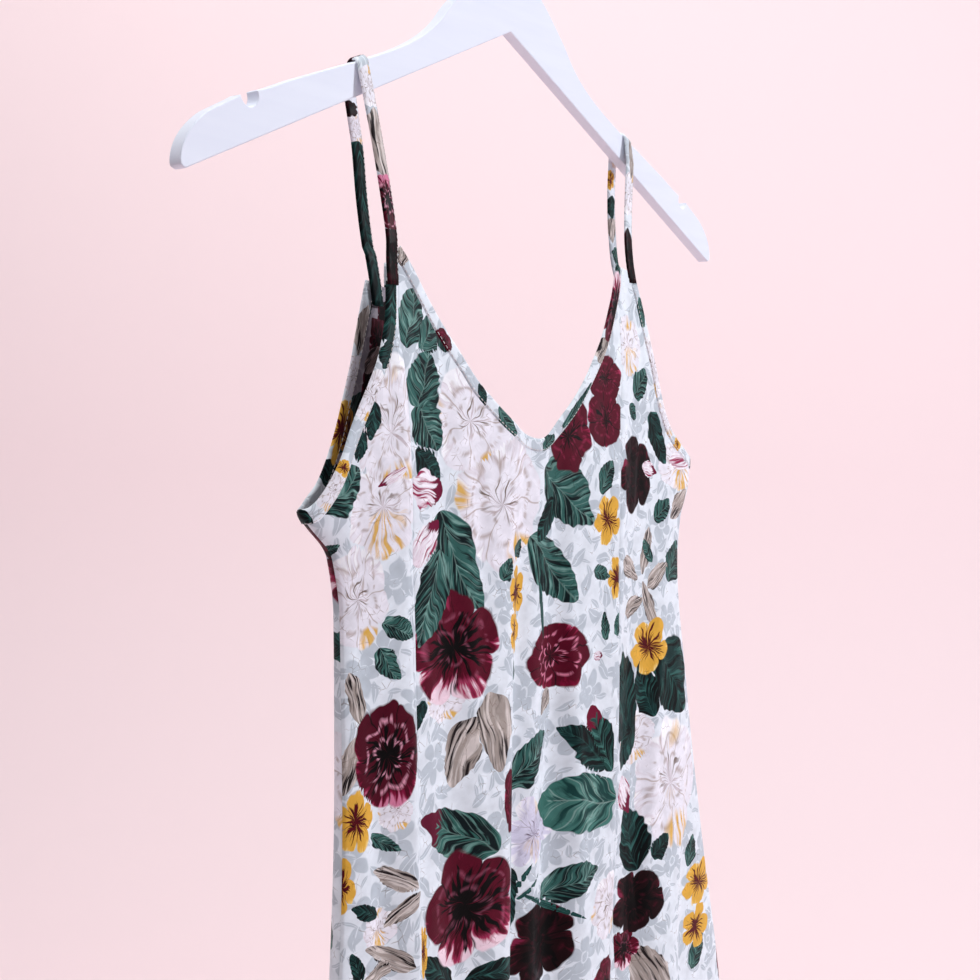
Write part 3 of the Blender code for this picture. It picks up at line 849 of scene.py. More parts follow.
def makeTube(name, path, radius):
    # a round wire in the frame's x, y, z in millimetres, with soft domed ends
    path = np.array(path)
    along = np.gradient(path, axis=0)
    along /= np.linalg.norm(along, axis=1)[:, None]
    first, last, sides = along[0], along[-1], hookShape["sides"]
    stations = [(p, d, radius) for p, d in zip(path, along)]
    for a in hookShape["domedEnd"][::-1]:
        reach, size = radius * math.sin(a), radius * math.cos(a)
        stations.insert(0, (path[0] - first * reach, first, size))
        stations.append((path[-1] + last * reach, last, size))
    points, faces = [], []
    for place, direction, size in stations:
        side = np.array((0.0, 1.0, 0.0))
        other = np.cross(direction, side)
        other /= np.linalg.norm(other)
        for k in range(sides):
            angle = 2 * math.pi * k / sides
            points.append(place + size * (math.cos(angle) * side + math.sin(angle) * other))
    for i in range(len(stations) - 1):
        for k in range(sides):
            n = (k + 1) % sides
            faces.append((i * sides + k, i * sides + n, (i + 1) * sides + n, (i + 1) * sides + k))
    faces.append(tuple(range(sides)))
    faces.append(tuple((len(stations) - 1) * sides + k for k in reversed(range(sides))))
    mesh = newMesh(name, (np.array(points) * 0.001).tolist(), faces)
    turnFacesOut(mesh)
    return addPiece(name, mesh)


panels = cutPanels()
strips = {
    "neck_binding_front": bindNeck("neckBindingFront", "front", "neckFront"),
    "neck_binding_back": bindNeck("neckBindingBack", "back", "neckBack"),
    "armhole_binding_left": bindArmhole("armholeBindingLeft", "left"),
    "armhole_binding_right": bindArmhole("armholeBindingRight", "right"),
    "strap_left": cutStrap("left"),
    "strap_right": cutStrap("right"),
}
board, hook = makeBoard(), makeHook()
print("panels, strips, hanger and hook are made")

# the flower print, in millimetres of flat cloth, in four layers from the lowest up
# a motif: its kind, or none where it has that of the one before it, then its place along the cloth from the
# middle, its drop, half its length and width, and its turn in degrees
# a flower isn't turned: the number only varies its strokes
# on a strip the place and the drop are measured from one edge and one end

printLayers = ("under", "leaves", "blooms", "over")
leafKinds = ("none", "teal", "deepTeal", "taupe", "pinkStreak", "stem", "burgundyTip", "veined", "fan")
bloomKinds = ("none", "burgundy", "black", "rose", "yellow", "cream", "lilac", "hibiscus", "peony")
bloomLayers = ("under", "blooms")
motifReach = 2.2        # square of how far out a motif is painted, in its own half sizes

printMotifs = {
    "frontSideLeft": {
        "under": """
            cream -109 202 22 34 10, -112 240 22 24 40, -126 281 17 25 70, -106 383 9 10 0,
            -116 437 11 10 20""",
        "leaves": """
            deepTeal -119 200 9 4.6 100, -126 211 8 4 103, teal -137 231 15 11 -39, -141 258 5 2.8 -33,
            taupe -132 357 13 6 -73, -128 326 13 5 -104, -106 415 14 4.6 -152, -102 431 12 4.2 150,
            deepTeal -124 427 9 3.8 -157, taupe -110 452 17 5 -150, -117 458 13 4.5 165,
            deepTeal -130 452 8 3.6 -109, teal -139 352 7 2.6 -95""",
        "blooms": "peony -110 356 20 26 15, yellow -129 384 11 15 0, -137 412 7 14 30",
        "over": """
            teal -103 297 10 5.9 23, -109 313 10 5.3 54, -112 397 10 3.6 29,
            pinkStreak -108 226 9 2.6 153""",
    },
    "frontCentre": {
        "under": """
            cream -48 200 30 30 20, -29 240 36 34 50, lilac 5 419 23 20 0, cream 73 477 21 20 60,
            -69 336 14 12 0, burgundy 68 200 18 16 80""",
        "leaves": """
            teal -91 152 15 11 -72, -82 203 14 12 55, deepTeal -82 221 12 8 38, teal -59 270 31 14 59,
            33 241 27 15.1 37, 21 280 29 13.8 44, taupe -57 364 18 11 115, -35 357 21 13 75,
            deepTeal -89 340 8 4.1 119, teal 2 380 21 11.5 -34, burgundyTip 62 378 22 10 -115,
            deepTeal 50 381 25 10 -145, veined 43 412 35 16 -171, fan -63 404 30 12.6 -156,
            deepTeal -15 449 19 8 83, -77 470 19 6.2 -142, -33 482 22 6.7 5, stem -4 443 10 1.7 -48,
            2 449 12 1.3 -24""",
        "blooms": """
            burgundy 68 177 17 14 10, 35 208 19 20 40, hibiscus -63 312 33 29 20, rose 25 328 27 19 0,
            yellow 68 256 13 15 0, 77 290 9 13 20, -14 288 9 14 40, -16 308 7 13 10,
            burgundy -23 394 8 18 0, hibiscus -54 443 33 31 60, black 12 483 28 25 20,
            yellow -89 455 4 14 0""",
        "over": """
            teal -84 181 15 13 -75, -77 158 13 8 -48, deepTeal -69 162 7 3.8 55, teal -79 285 24 13 112,
            pinkStreak -83 233 13 9 10, -83 258 14 8.1 -50, deepTeal 14 253 14 7.4 132,
            teal 67 232 11 7.2 -57, 63 286 8 4 18, -25 276 7 5.6 -57, -13 266 6 4.2 -45,
            stem 11 301 17 2.4 77, pinkStreak 60 332 4 2.8 8, taupe 18 352 8 5.4 136,
            teal -15 329 6 2.7 -104, stem -17 345 14 1.6 -84, teal 66 316 8 3.7 -91, 78 316 7 4.3 -73,
            38 455 21 10 -11, stem 21 464 29 1.8 27""",
    },
    "frontSideRight": {
        "under": "cream 97 158 16 18 0, 144 421 36 43 30, 158 229 29 16 0, 106 388 20 16 0",
        "leaves": """
            teal 109 180 11 8.2 -46, deepTeal 128 211 18 8 62, teal 134 255 10 7 -35,
            taupe 96 287 13 6 25, 117 277 14 6 -75, 131 293 13 5.5 -35, 102 309 13 5.5 -15,
            122 312 17 5 65, deepTeal 93 364 30 17 -103, 147 358 26 21 53, 97 390 16 10 130,
            118 360 18 11 -116, teal 150 287 14 12 -62, taupe 157 252 14 8 -28,
            deepTeal 106 447 22 14 -106, 130 458 10 7 -28, taupe 118 531 22 14 -121,
            teal 175 472 10 7 -74, 182 538 12 8 -49""",
        "blooms": """
            black 101 232 21 23 30, yellow 121 335 20 18 10, black 109 486 23 20 50,
            yellow 186 495 22 15 0, 181 522 18 14 40, hibiscus 98 512 15 13 0""",
        "over": """
            teal 99 196 6 4.1 47, pinkStreak 119 230 9 4.5 17, teal 119 278 9 4 -131,
            pinkStreak 163 225 22 5.6 -3, 95 420 14 9 58""",
    },
    "backPanel": {
        "leaves": "deepTeal -121 227 8 5.4 -50, -97 148 7 3.3 -62, taupe -104 170 8 3.6 -76",
        "blooms": "yellow -106 210 9 16 0, hibiscus -88 162 7 14 0, black -93 184 6 11 0, -84 151 6 9 0",
    },
    "neckBindingFront": {
        "leaves": """
            taupe 4 3 5 4 20, deepTeal 4 86 6 3 60, teal 4 109 10 5 75, 4 152 8 5 100, 5 186 17 2.5 90,
            taupe 4 226 9 6 90, teal 4 279 4 5 90""",
        "blooms": "burgundy 5 49 4 7 0, hibiscus 4 255 8 24 0",
    },
    "neckBindingBack": {
        "leaves": """
            deepTeal 4 20 12 6 80, taupe 4 70 12 5 95, teal 4 150 16 6 85, deepTeal 4 230 12 5 100,
            teal 3 262 9 4 80""",
        "blooms": "yellow 4 100 7 9 0, hibiscus 4 194 8 15 0, rose 4 305 8 13 0",
    },
    "armholeBindingLeft": {
        "under": "cream 3 55 9 14 0, 3 104 7 10 0, 4 214 8 10 0",
        "leaves": "deepTeal 4 13 18 9 90, 5 33 8 5 100, 4 124 5 6 90, 4 165 7 7 90, taupe 4 236 12 5 90",
        "blooms": "yellow 3 92 6 4 0, 4 187 10 17 0",
    },
    "armholeBindingRight": {
        "under": "cream 4 50 9 20 0, 4 84 8 14 0, 4 196 8 14 0",
        "leaves": "teal 4 18 9 4 80, deepTeal 4 140 10 6 90, taupe 4 224 12 5 90",
        "blooms": "yellow 4 106 6 5 0, burgundy 4 170 8 12 0, rose 4 252 7 10 0",
    },
    "strapLeft": {
        "under": "cream 4 90 7 10 0, 4 141 7 8 0",
        "leaves": "taupe 4 65 16 8 92, deepTeal 4 170 25 10 90, 4 208 24 10 86",
        "blooms": "black 3 13 9 17 0, peony 4 38 9 14 0, black 4 109 6 4 0, 2 132 5 4 0",
    },
    "strapRight": {
        "under": "cream 4 52 7 14 0, 4 100 7 12 0",
        "leaves": "taupe 5 74 12 3 90, deepTeal 3 134 7 4 90, taupe 3 147 8 4 95, teal 5 163 6 4 90",
        "blooms": "black 4 12 8 20 0, yellow 2 119 4 6 0",
    },
}

# where the charted motifs end, the front's own group goes on as the cloth's repeat
printRepeat = {
    "width": 205,
    "height": 342,
    "shift": 98,            # each strip across starts this much lower
    "gap": 0.86,            # how near two motifs of one layer may come, as a share of their sizes
    "firstDrop": {"frontSideLeft": 460, "frontCentre": 500, "frontSideRight": 545, "backPanel": 0},
    "offset": {"frontSideLeft": (60, 120), "frontCentre": (0, 0), "frontSideRight": (40, 60),
               "backPanel": (96, 64)},
    "columns": range(-3, 4),
    "rows": range(-2, 4),
    "reach": (-330, 340, 90, 960),
}


def readMotifs(cloth, layer):
    rows, kind = [], ""
    for row in printMotifs[cloth].get(layer, "").split(","):
        words = row.split()
        if words and words[0].isalpha():
            kind = words.pop(0)
        if words:
            rows.append((kind, *map(float, words)))
    return rows


def gatherMotifs(cloth):
    # a piece's charted motifs, and round them the repeat; the narrow strips have charted ones only
    motifs = {layer: readMotifs(cloth, layer) for layer in printLayers}
    if cloth not in printRepeat["firstDrop"]:
        return motifs
    shiftX, shiftDrop = printRepeat["offset"][cloth]
    low, high, top, bottom = printRepeat["reach"]
    top = max(top, printRepeat["firstDrop"][cloth])
    for layer, placed in motifs.items():
        group = readMotifs("frontCentre", layer)
        for column, row, motif in itertools.product(printRepeat["columns"], printRepeat["rows"], group):
            kind, x, drop, length, width, turn = motif
            x += shiftX + column * printRepeat["width"]
            drop += shiftDrop + row * printRepeat["height"] + (column % 2) * printRepeat["shift"]
            size = max(length, width)
            if low < x < high and top < drop < bottom and all(
                    math.hypot(x - m[1], drop - m[2]) > printRepeat["gap"] * (max(m[3], m[4]) + size)
                    for m in placed):
                placed.append((kind, x, drop, length, width, turn))
    return motifs


def placeIn(motif, x, drop, turned):
    # a point's place in a motif, -1 to 1 each way; leaves are turned, and flowers aren't
    motifX, motifDrop, length, width, turn = motif
    dx, dy = x - motifX, drop - motifDrop
    if not turned:
        return dx / length, dy / width
    cosine, sine = np.cos(turn), np.sin(turn)
    return (dx * cosine + dy * sine) / length, (dy * cosine - dx * sine) / width


def readMesh(items, key, kind, size=1):
    values = np.zeros(len(items) * size, kind)
    items.foreach_get(key, values)
    return values


def printOn(piece, motifs):
    # each face belongs to the nearest motif of each layer, and its corners carry their place in that motif
    mesh = piece.data
    place = readMesh(mesh.attributes["clothPlace"].data, "vector", np.float32, 3).reshape(-1, 3)[:, :2]
    starts = readMesh(mesh.polygons, "loop_start", np.int32)
    totals = readMesh(mesh.polygons, "loop_total", np.int32)
    faceOf = np.repeat(np.arange(len(starts)), totals)
    cornerPlace = place[readMesh(mesh.loops, "vertex_index", np.int32)]
    middle = np.add.reduceat(cornerPlace, starts, axis=0) / totals[:, None]
    for layer in printLayers:
        turned = layer not in bloomLayers
        kinds = leafKinds if turned else bloomKinds
        rows = motifs[layer] or [("none", 0, -999, 1, 1, 0)]
        table = np.array([(*row[1:5], math.radians(row[5])) for row in rows])
        best = np.full(len(middle), 9e9)
        chosen = np.zeros(len(middle), int)
        for k, motif in enumerate(table):
            u, v = placeIn(motif, *middle.T, turned)
            near = u * u + v * v
            take = near < best
            best[take], chosen[take] = near[take], k
        u, v = placeIn(table[chosen[faceOf]].T, *cornerPlace.T, turned)
        # the code's whole part is the kind, and its fraction, from 0.05 to 0.95, seeds the brush strokes
        seeds = [(row[5] * 0.137 + row[1] * 0.071 + k * 0.37) % 1 for k, row in enumerate(rows)]
        codes = np.array([kinds.index(row[0]) + 0.05 + 0.9 * seed for row, seed in zip(rows, seeds)])
        code = np.where(best[faceOf] < motifReach, codes[chosen[faceOf]], 0)
        addVectors(mesh, "print" + layer.capitalize(), "CORNER", [u, v, code])


for piece in [*panels.values(), *strips.values()]:
    printOn(piece, gatherMotifs(piece.name))
print("print motifs are laid on the cloth")

# paints for the kinds in their order: the ground tone, then each tone laid over it where its strokes are
leafPaint = (
    ("", "34605A 34605A 12302F A39790 EADCE6 1D4642 1D4540 44776E 33625A"),
    ("light", "769E96 769E96 33635D D8CDC8 F8F4FA 3B7069 467B73 86ADA4 719B92"),
    ("dark", "08171A 08171A 030A0C 1E1618 98184A 08191C 051013 17403D 051518"),
    ("veinPart", "9FBEB5 98B9B0 33635D C9BDB6 F8F4FA 3F7A70 5A8D83 C0D8D0 95B9B0"),
    ("tipPart", "28564F 28564F 0B2526 54463F 6E0F34 1D4642 6E0A2C 386A61 5E0A2A"),
)
bloomPaint = (
    ("", "420419 54041E 1A0206 56051F E0AA42 EFECF4 D9D6E9 56051F 4C041B"),
    ("edgePart", "A02A52 820F36 4E0A1E 800D33 EEC772 E1D9E0 EEEBF7 A52F55 84143A"),
    ("rimPart", "E6A9BC AC3258 7E1E3E BE4A6E F8DEA2 FAF9FD FAF9FD F1D5E0 D27C9B"),
    ("heartPart", "060103 070103 020001 120207 560A16 CBBFC5 988DA4 040102 030001"),
    ("gapPart", "0E0206 0E0206 030001 120207 7E3A0C B9A8A3 A198AA 0E0206 080103"),
    ("ringPart", "D27593 AC3258 4C0B20 DF839F EDC05C AD9A94 A39AAF D27593 E6A0B6"),
    ("touchPart", "E0AC32 E0AC32 E0AC32 E0AC32 E0AC32 E0AC32 DAAE4C E0AC32 E0AC32"),
    ("stamenPart", "0E0206 0E0206 030001 120207 22050A 7A6A62 6E6072 040102 080103"),
)
bloomForm = {
    # for the same kinds: petals out of 10, depth of the gaps between them, size of the dark heart
    "outline": ((0.5, 0.2, 0.3), (0.5, 0.14, 0.30), (0.5, 0.30, 0.62), (0.8, 0.08, 0.16), (0.5, 0.5, 0.5),
                (0.7, 0.14, 0.10), (0.6, 0.42, 0.16), (0.5, 0.26, 0.52), (0.7, 0.10, 0.50)),
    # where the pale edge starts out of 2, strength of the inner petals' edges and of the yellow touches
    "inside": ((0.5, 0, 0), (0.5, 0.4, 0), (0.5, 0.5, 0), (0.56, 1, 0), (0.5, 0, 0), (0.42, 0.75, 0.9),
               (0.42, 0.6, 0.35), (0.46, 0.25, 0), (0.54, 0.9, 0)),
}


# a motif's own place, -1 to 1 each way, and its code: kind, and a fraction that seeds its brush strokes
readMotif = """
    motif = NodeGroupInput
    u0 v0 code = SeparateXYZ motif
    seed = FRACT code
    kind = FLOOR code
    real = GREATER_THAN code 0.5
    pick = MULTIPLY kind 0.1
    deep = MULTIPLY code 7.3
"""


def layStrokes(known, strokes):
    # a recipe that lays colours one over another, each where its brush strokes are
    recipe = ""
    for factor, colors in strokes:
        known[factor + "Colors"] = [hexColor("#" + color) for color in colors.split()]
        picked = "ValToRGB steps:%sColors 0:pick" % factor
        if factor:
            recipe += "\n- - paint = Mix data_type:RGBA 0:%s 6:paint 7:(%s)" % (factor, picked)
        else:
            recipe += "\npaint = " + picked
    return recipe + "\n- = NodeGroupOutput paint mask"


def motifGroup(name, known, recipe, strokes):
    recipe = readMotif + recipe + layStrokes(known, strokes)
    return makeGroup(name, {"Motif": "Vector"}, {"Color": "Color", "Mask": "Float"}, known, recipe)


def leafGroup():
    # brushed leaves: midrib, slanting ribs, a toothed edge, and dark strokes on the shaded half
    return motifGroup("printedLeaf", {}, """
        - wobble = TexNoise Vector:(CombineXYZ u0 v0 deep) Scale:1.3 Detail:0.4
        n1 n2 = SeparateColor wobble
        u = MULTIPLY_ADD (SUBTRACT n1 0.5) 0.35 u0
        v = MULTIPLY_ADD (SUBTRACT n2 0.5) 0.7 v0
        av = ABSOLUTE v
        body = POWER (SUBTRACT! 1 (MULTIPLY u u)) 0.62
        slant = MULTIPLY_ADD av -0.7 u
        toothed = MULTIPLY_ADD (SINE (MULTIPLY slant 17)) 0.035 (MULTIPLY_ADD u -0.25 1)
        solid = MULTIPLY! (SUBTRACT (MULTIPLY body toothed) av) 26
        mask = MULTIPLY solid real
        ribPhase = FRACT (MULTIPLY_ADD slant 2.4 seed)
        ribLine = MULTIPLY_ADD! (ABSOLUTE (SUBTRACT ribPhase 0.5)) -17 1
        middle = MULTIPLY_ADD (SINE (MULTIPLY u 2.2)) -0.08 v
        vein = MAXIMUM ribLine (MULTIPLY_ADD! (ABSOLUTE middle) -20 1)
        long = MAXIMUM (COMPARE kind 3.5 0.6) (COMPARE kind 5 0.4)
        short = SUBTRACT 1 long
        strokeX = MULTIPLY_ADD u long (MULTIPLY (MULTIPLY slant 7) short)
        strokeY = MULTIPLY_ADD (MULTIPLY v 5) long (MULTIPLY (MULTIPLY av 1.3) short)
        - strokes = TexNoise Vector:(CombineXYZ strokeX strokeY deep) Scale:1 Detail:3
        stroke glow = SeparateColor strokes
        ribShade = MULTIPLY ribPhase short
        shaded = MULTIPLY_ADD ribShade 0.14 (MULTIPLY_ADD (GREATER_THAN middle 0) 0.07 stroke)
        dark = MULTIPLY! (SUBTRACT shaded 0.545) 8
        light = MULTIPLY! (SUBTRACT (MULTIPLY_ADD ribShade -0.14 glow) 0.46) 7
        veinPart = MULTIPLY (MULTIPLY vein short) 0.34
        tipStart = SUBTRACT (MULTIPLY_ADD stroke 1.2 (SUBTRACT u 0.5)) 0.5
        tipPart = MULTIPLY (MULTIPLY! tipStart 8) (GREATER_THAN kind 3.5)
    """, leafPaint)


def bloomGroup():
    # brushed flowers: lobed petals round a dark heart, streaks that run outwards, and pale petal edges
    known = {key: [(*value, 1) for value in values] for key, values in bloomForm.items()}
    return motifGroup("printedBloom", known, """
        petalCount gapDepth heart = SeparateColor (ValToRGB steps:outline 0:pick)
        edgeStart ringKind touchKind = SeparateColor (ValToRGB steps:inside 0:pick)
        - wobble = TexNoise Vector:(CombineXYZ u0 v0 deep) Scale:1.7 Detail:1.5
        n1 n2 = SeparateColor wobble
        w1 = SUBTRACT n1 0.5
        u = MULTIPLY_ADD w1 0.42 u0
        w2 = SUBTRACT n2 0.5
        v = MULTIPLY_ADD w2 0.42 v0
        r = SQRT (MULTIPLY_ADD v v (MULTIPLY u u))
        a = ARCTAN2 v u
        lobePhase = MULTIPLY (MULTIPLY_ADD seed 6.283 a) (MULTIPLY petalCount 5)
        lobe = ABSOLUTE (COSINE lobePhase)
        lost = MULTIPLY (SUBTRACT 1 (POWER lobe 0.42)) gapDepth
        out = SUBTRACT 1 lost
        mask = MULTIPLY (MULTIPLY! (SUBTRACT out r) 24) real
        tone = DIVIDE r out
        rSlow = MULTIPLY_ADD r 1.1 deep
        streakAt = CombineXYZ (MULTIPLY (COSINE a) 6.5) (MULTIPLY (SINE a) 6.5) rSlow
        - streaks = TexNoise Vector:streakAt Scale:1 Detail:3
        s1 s2 = SeparateColor streaks
        - sides = TexNoise Vector:(CombineXYZ u0 v0 code) Scale:0.9 Detail:1
        q1 q2 = SeparateColor sides
        q = SUBTRACT q1 0.5
        heartIn = SUBTRACT (MULTIPLY_ADD (SUBTRACT s1 0.5) 2.2 heart) tone
        heartPart = MULTIPLY! heartIn 8
        lowPale = MULTIPLY v0 (GREATER_THAN kind 6.5)
        edgeLow = MULTIPLY_ADD lowPale 0.55 (MULTIPLY_ADD q 1.7 (MULTIPLY_ADD s2 1.7 tone))
        edgeOver = SUBTRACT (MULTIPLY_ADD edgeStart -2 edgeLow) 0.82
        edgePart = MULTIPLY! edgeOver 5
        rimPart = MULTIPLY! (SUBTRACT edgeOver 0.2) 7
        stamenSine = SINE (MULTIPLY (MULTIPLY_ADD w1 2 a) 7)
        stamenSeen = MULTIPLY (MULTIPLY_ADD! stamenSine 12 -10.4) (MULTIPLY_ADD! tone -9 4)
        stamenPart = MULTIPLY stamenSeen (MULTIPLY_ADD! q 9 0.6)
        gapPart = MULTIPLY (MULTIPLY_ADD! lobe -9 1) (MULTIPLY_ADD! tone 5 -1)
        ringOff = SUBTRACT r (MULTIPLY_ADD w2 0.5 (MULTIPLY_ADD lobe 0.16 0.52))
        innerLobe = MULTIPLY_ADD (ABSOLUTE (SINE lobePhase)) 0.15 0.2
        innerLine = MULTIPLY_ADD! (ABSOLUTE (SUBTRACT r innerLobe)) -15 1
        rings = MAXIMUM (MULTIPLY_ADD! (ABSOLUTE ringOff) -13 1) innerLine
        ringPart = MULTIPLY (MULTIPLY rings (MULTIPLY_ADD! s2 9 -3.9)) ringKind
        touchBoth = MULTIPLY (MULTIPLY_ADD! q2 14 -8.2) (MULTIPLY_ADD! s2 9 -4)
        touchPart = MULTIPLY touchBoth touchKind
    """, bloomPaint)


satin = {
    "ground": "#E9EFF6",
    "figure": "#BEC6CE",
    "crackle": "#BDB3AE",
    "wrongTint": "#A89298",     # the print's back, faded and greyed
    "fading": 0.85,
    "roughness": 0.42,
    "figureRoughness": 0.58,
    "sheen": 0.03,
    "shine": 0.07,
    "relief": 0.12,         # height of the twill's ribs, millimetres
    "thread": 0.9,          # real satin is finer: drawn coarse enough to show
    # woven figures: spacing in millimetres, fullness of a leaf, half the number of a flower's petals
    "figures": ((30.0, 0.8, 2.5), (18.0, 1.2, 0), (14.0, 0.8, 0), (11.0, 0.7, 0)),
    "crackleSize": 4.2,
}


bandScale = 0.31        # scale at which a wave texture has one band for each unit


def jacquardGroup():
    # the satin's woven figure: grey leaf sprigs and flowers on white, none more than a thumb's width
    known = {"drift": (9, 9, 0), "perCrackle": 1 / satin["crackleSize"], "figure": 0.0}
    recipe = """
        motif = NodeGroupInput
        - swirl = TexNoise Vector:motif Scale:0.07 Detail:1
        shifted = VectorMath operation:MULTIPLY_ADD swirl drift motif
        mottle = TexNoise Vector:motif Scale:0.12 Detail:3
        crack = TexVoronoi feature:DISTANCE_TO_EDGE voronoi_dimensions:2D Vector:shifted Scale:perCrackle
        crackSeen = MULTIPLY (MULTIPLY_ADD! crack -14 1) (MULTIPLY_ADD! mottle 9 -4.9)
    """
    for number, (size, along, petals) in enumerate(satin["figures"]):
        figure = {"cells": 1 / size, "lengthened": along, "petals": petals, "round": float(petals > 0),
                  "start": (size * 3.7, size * 1.9, 0)}
        known.update({"%s%d" % (key, number): value for key, value in figure.items()})
        recipe += """
        moved = VectorMath operation:ADD shifted start%(number)d
        near tint cell = TexVoronoi voronoi_dimensions:2D Vector:moved Scale:cells%(number)d Randomness:0.9
        offset = VectorMath operation:SUBTRACT moved cell
        x y = SeparateXYZ (VectorMath operation:SCALE 0:offset Scale:cells%(number)d)
        c1 c2 = SeparateColor tint
        spin = MULTIPLY c1 6.283
        cosine = COSINE spin
        sine = SINE spin
        u = MULTIPLY_ADD y sine (MULTIPLY x cosine)
        v = SUBTRACT (MULTIPLY y cosine) (MULTIPLY x sine)
        vAway = ABSOLUTE v
        leafWide = MULTIPLY (MULTIPLY_ADD (MULTIPLY u u) -1.1 0.17) lengthened%(number)d
        leafIn = MULTIPLY! (SUBTRACT leafWide vAway) 26
        leafRib = MULTIPLY_ADD! vAway -42 1
        lobeCos = COSINE (MULTIPLY (ARCTAN2 v u) petals%(number)d)
        lobe = ABSOLUTE lobeCos
        flowerIn = MULTIPLY! (SUBTRACT (MULTIPLY_ADD lobe 0.2 0.2) near) 26
        heartRib = MULTIPLY_ADD! (ABSOLUTE (SUBTRACT near 0.1)) -34 1
        ribGap = SUBTRACT (MAXIMUM heartRib (MULTIPLY_ADD! lobe -9 1)) leafRib
        rib = MULTIPLY_ADD ribGap round%(number)d leafRib
        cut = SUBTRACT! (MULTIPLY_ADD (SUBTRACT flowerIn leafIn) round%(number)d leafIn) rib
        figure = MAXIMUM figure (MULTIPLY cut (GREATER_THAN c2 0.18))
        """ % {"number": number}
    outputs = {"Figure": "Float", "Crackle": "Float", "Mottle": "Float"}
    recipe += "- = NodeGroupOutput figure crackSeen mottle"
    return makeGroup("jacquardFigure", {"Place": "Vector"}, outputs, known, recipe)


def printedSatin(name, wrongSide=False):
    # jacquard satin: a soft, slightly grainy gloss, brighter where the long threads of the ground lie
    known = {key: hexColor(satin[key]) for key in ("ground", "figure", "crackle", "wrongTint")}
    known.update(printGroups, perThread=bandScale / satin["thread"], relief=satin["relief"] / 1000)
    known.update(smooth=satin["roughness"], rough=satin["figureRoughness"])
    known.update(Sheen_Weight=satin["sheen"], Specular_IOR_Level=satin["shine"])
    known["faded"] = satin["fading"] if wrongSide else 0.0
    recipe = """
        - place = Attribute attribute_name:clothPlace
        woven crackled mottle = Group node_tree:jacquard 0:place
        - - paint = Mix data_type:RGBA 0:woven 6:ground 7:figure
    """
    for layer in printLayers:
        recipe += """
        - motif = Attribute attribute_name:print%s
        printed mask = Group node_tree:%s 0:motif
        - - paint = Mix data_type:RGBA 0:mask 6:paint 7:printed
        """ % (layer.capitalize(), "bloom" if layer in bloomLayers else "leaf")
    recipe += """
        lift = MULTIPLY_ADD woven 0.06 (MULTIPLY_ADD mottle 0.5 0.74)
        - - cracked = Mix data_type:RGBA blend_type:MULTIPLY 0:crackled 6:paint 7:crackle
        brushed = VectorMath operation:SCALE 0:cracked Scale:lift
        - - Base_Color = Mix data_type:RGBA blend_type:MULTIPLY 0:faded 6:brushed 7:wrongTint
        Roughness = MapRange Value:woven 3:smooth 4:rough
        - twill = TexWave bands_direction:DIAGONAL Vector:place Scale:perThread Distortion:0.6 Detail:1
        Normal = Bump Height:(MULTIPLY twill 0.35) Strength:0.35 Distance:relief
    """
    return makeMaterial(name, known, recipe)


def whiteLacquer():
    # white lacquer on a wooden board: smooth, faintly uneven along the grain, slightly cool
    known = {"alongGrain": (14, 160, 160), "white": hexColor("#EDF1FB"), "cool": hexColor("#E4E8F6"),
             "Specular_IOR_Level": 0.15}
    return makeMaterial("whiteLacquerOnWood", known, """
        - - - object = TexCoord
        grain = TexNoise Vector:(Mapping Vector:object Scale:alongGrain) Scale:1 Detail:3
        - - Base_Color = Mix data_type:RGBA 0:grain 6:white 7:cool
        Roughness = MapRange Value:grain 3:0.44 4:0.56
        Normal = Bump Height:grain Strength:0.12 Distance:0.0003
    """)


def chromedWire():
    # plated steel wire: bright, with faint drawing marks
    return makeMaterial("chromedSteelWire", {"Base_Color": hexColor("#D5D6DA"), "Metallic": 1.0}, """
        - - - object = TexCoord
        Roughness = MapRange Value:(TexNoise Vector:object Scale:900 Detail:2) 3:0.12 4:0.3
    """)


def spunThread():
    # polyester sewing thread: pale, a little fuzzy, with a faint twist
    known = {"pale": hexColor("#EFEAE8"), "dull": hexColor("#CFC6C4")}
    return makeMaterial("spunPolyesterThread", known, """
        - - - object = TexCoord
        - twist = TexWave bands_direction:DIAGONAL Vector:object Scale:480 Distortion:1
        - - Base_Color = Mix data_type:RGBA 0:twist 6:pale 7:dull
        Roughness = MapRange Value:twist 3:0.5 4:0.7
        Normal = Bump Height:twist Strength:0.3 Distance:0.0001
    """)


stitchShape = {"Pitch": 2.7, "Length": 2.1, "Width": 0.5, "Height": 0.42}       # millimetres


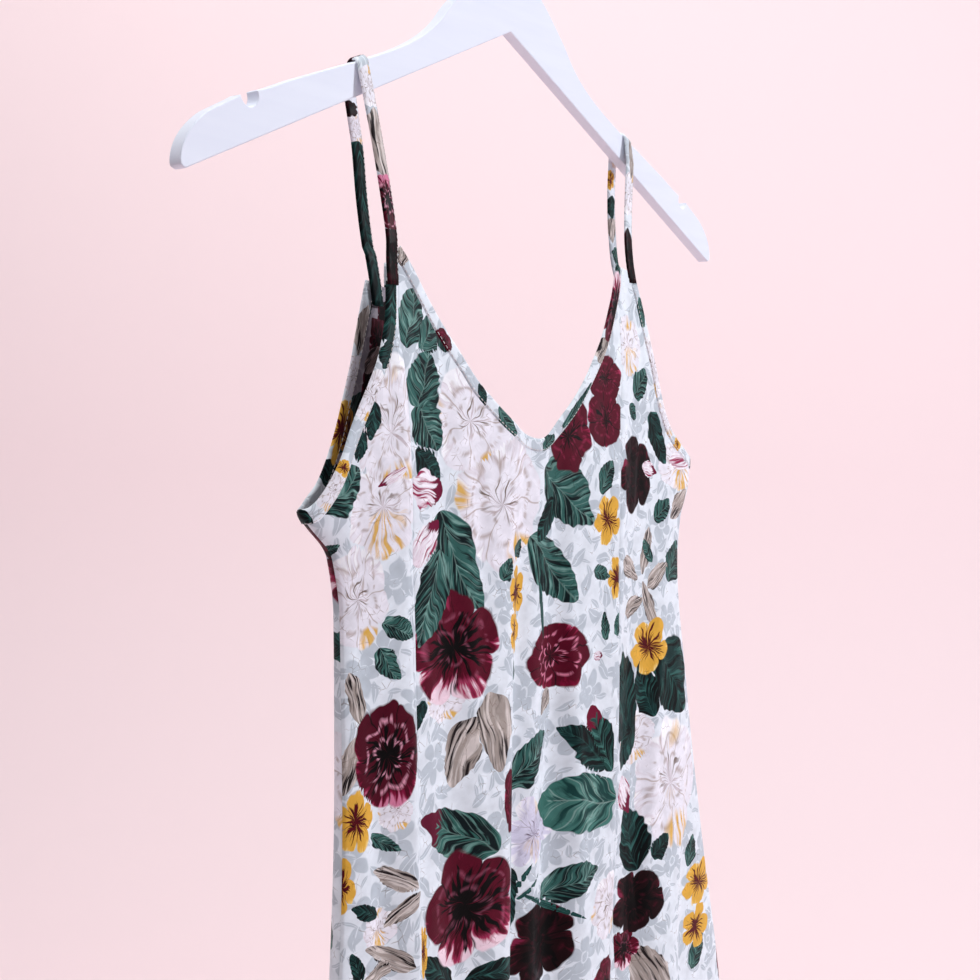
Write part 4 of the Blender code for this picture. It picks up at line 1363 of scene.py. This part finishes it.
def stitchTree(thread):
    # stitches laid end to end along every edge chain of the guide mesh
    inputs = {"Geometry": "Geometry"} | dict.fromkeys(stitchShape, "Float")
    return makeGroup("stitchRows", inputs, {"Geometry": "Geometry"}, {"thread": thread}, """
        guide pitch length width height = NodeGroupInput
        rows = GeometryNodeMeshToCurve Mesh:guide
        spaced = GeometryNodeResampleCurve mode:LENGTH Curve:rows Length:pitch
        grain = GeometryNodeMeshUVSphere Segments:5 Rings:4 Radius:0.5
        shaped = GeometryNodeTransform Geometry:grain Scale:(CombineXYZ height width length)
        turn = FunctionNodeAlignRotationToVector axis:Z Vector:(GeometryNodeInputTangent)
        placed = GeometryNodeInstanceOnPoints Points:spaced Instance:shaped Rotation:turn
        real = GeometryNodeRealizeInstances placed
        finished = GeometryNodeSetMaterial Geometry:real Material:thread
        - = NodeGroupOutput finished
    """, "Geometry")


def sewStitches(thread):
    points, edges = [], []
    for line in stitchLines:
        first = len(points)
        points += toFrame(line).tolist()
        edges += [(k, k + 1) for k in range(first, len(points) - 1)]
    guide = newMesh("stitchGuide", points, [], edges)
    maker = addObject("stitchGuide", guide)
    tree = stitchTree(thread)
    rows = maker.modifiers.new("stitchRows", "NODES")
    rows.node_group = tree
    for item in tree.interface.items_tree:
        if item.in_out == "INPUT" and item.name in stitchShape:
            rows[item.identifier] = stitchShape[item.name] / 1000
    return addPiece("stitching", meshOf(maker))


printGroups = {"leaf": leafGroup(), "bloom": bloomGroup(), "jacquard": jacquardGroup()}
finishes = {
    "right": printedSatin("printedJacquardSatin"),
    "wrong": printedSatin("printedSatinWrongSide", True),
    "lacquer": whiteLacquer(),
    "chrome": chromedWire(),
}
for piece in panels.values():
    piece.data.materials.append(finishes["right"])
    piece.data.materials.append(finishes["wrong"])
for piece in strips.values():
    piece.data.materials.append(finishes["right"])
board.data.materials.append(finishes["lacquer"])
hook.data.materials.append(finishes["chrome"])
stitching = sewStitches(spunThread())
print("materials are mixed, and", len(stitching.data.polygons), "faces of thread are sewn")

# every piece rides on the hanger's body, and the solids that the pieces stand in for are hidden
for node, piece in [*panels.items(), *strips.items(), ("hanger", board), ("hanger_hook", hook)]:
    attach(piece, "root")
    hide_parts(node)
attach(stitching, "root")

print("every piece rides on the hanger's body")
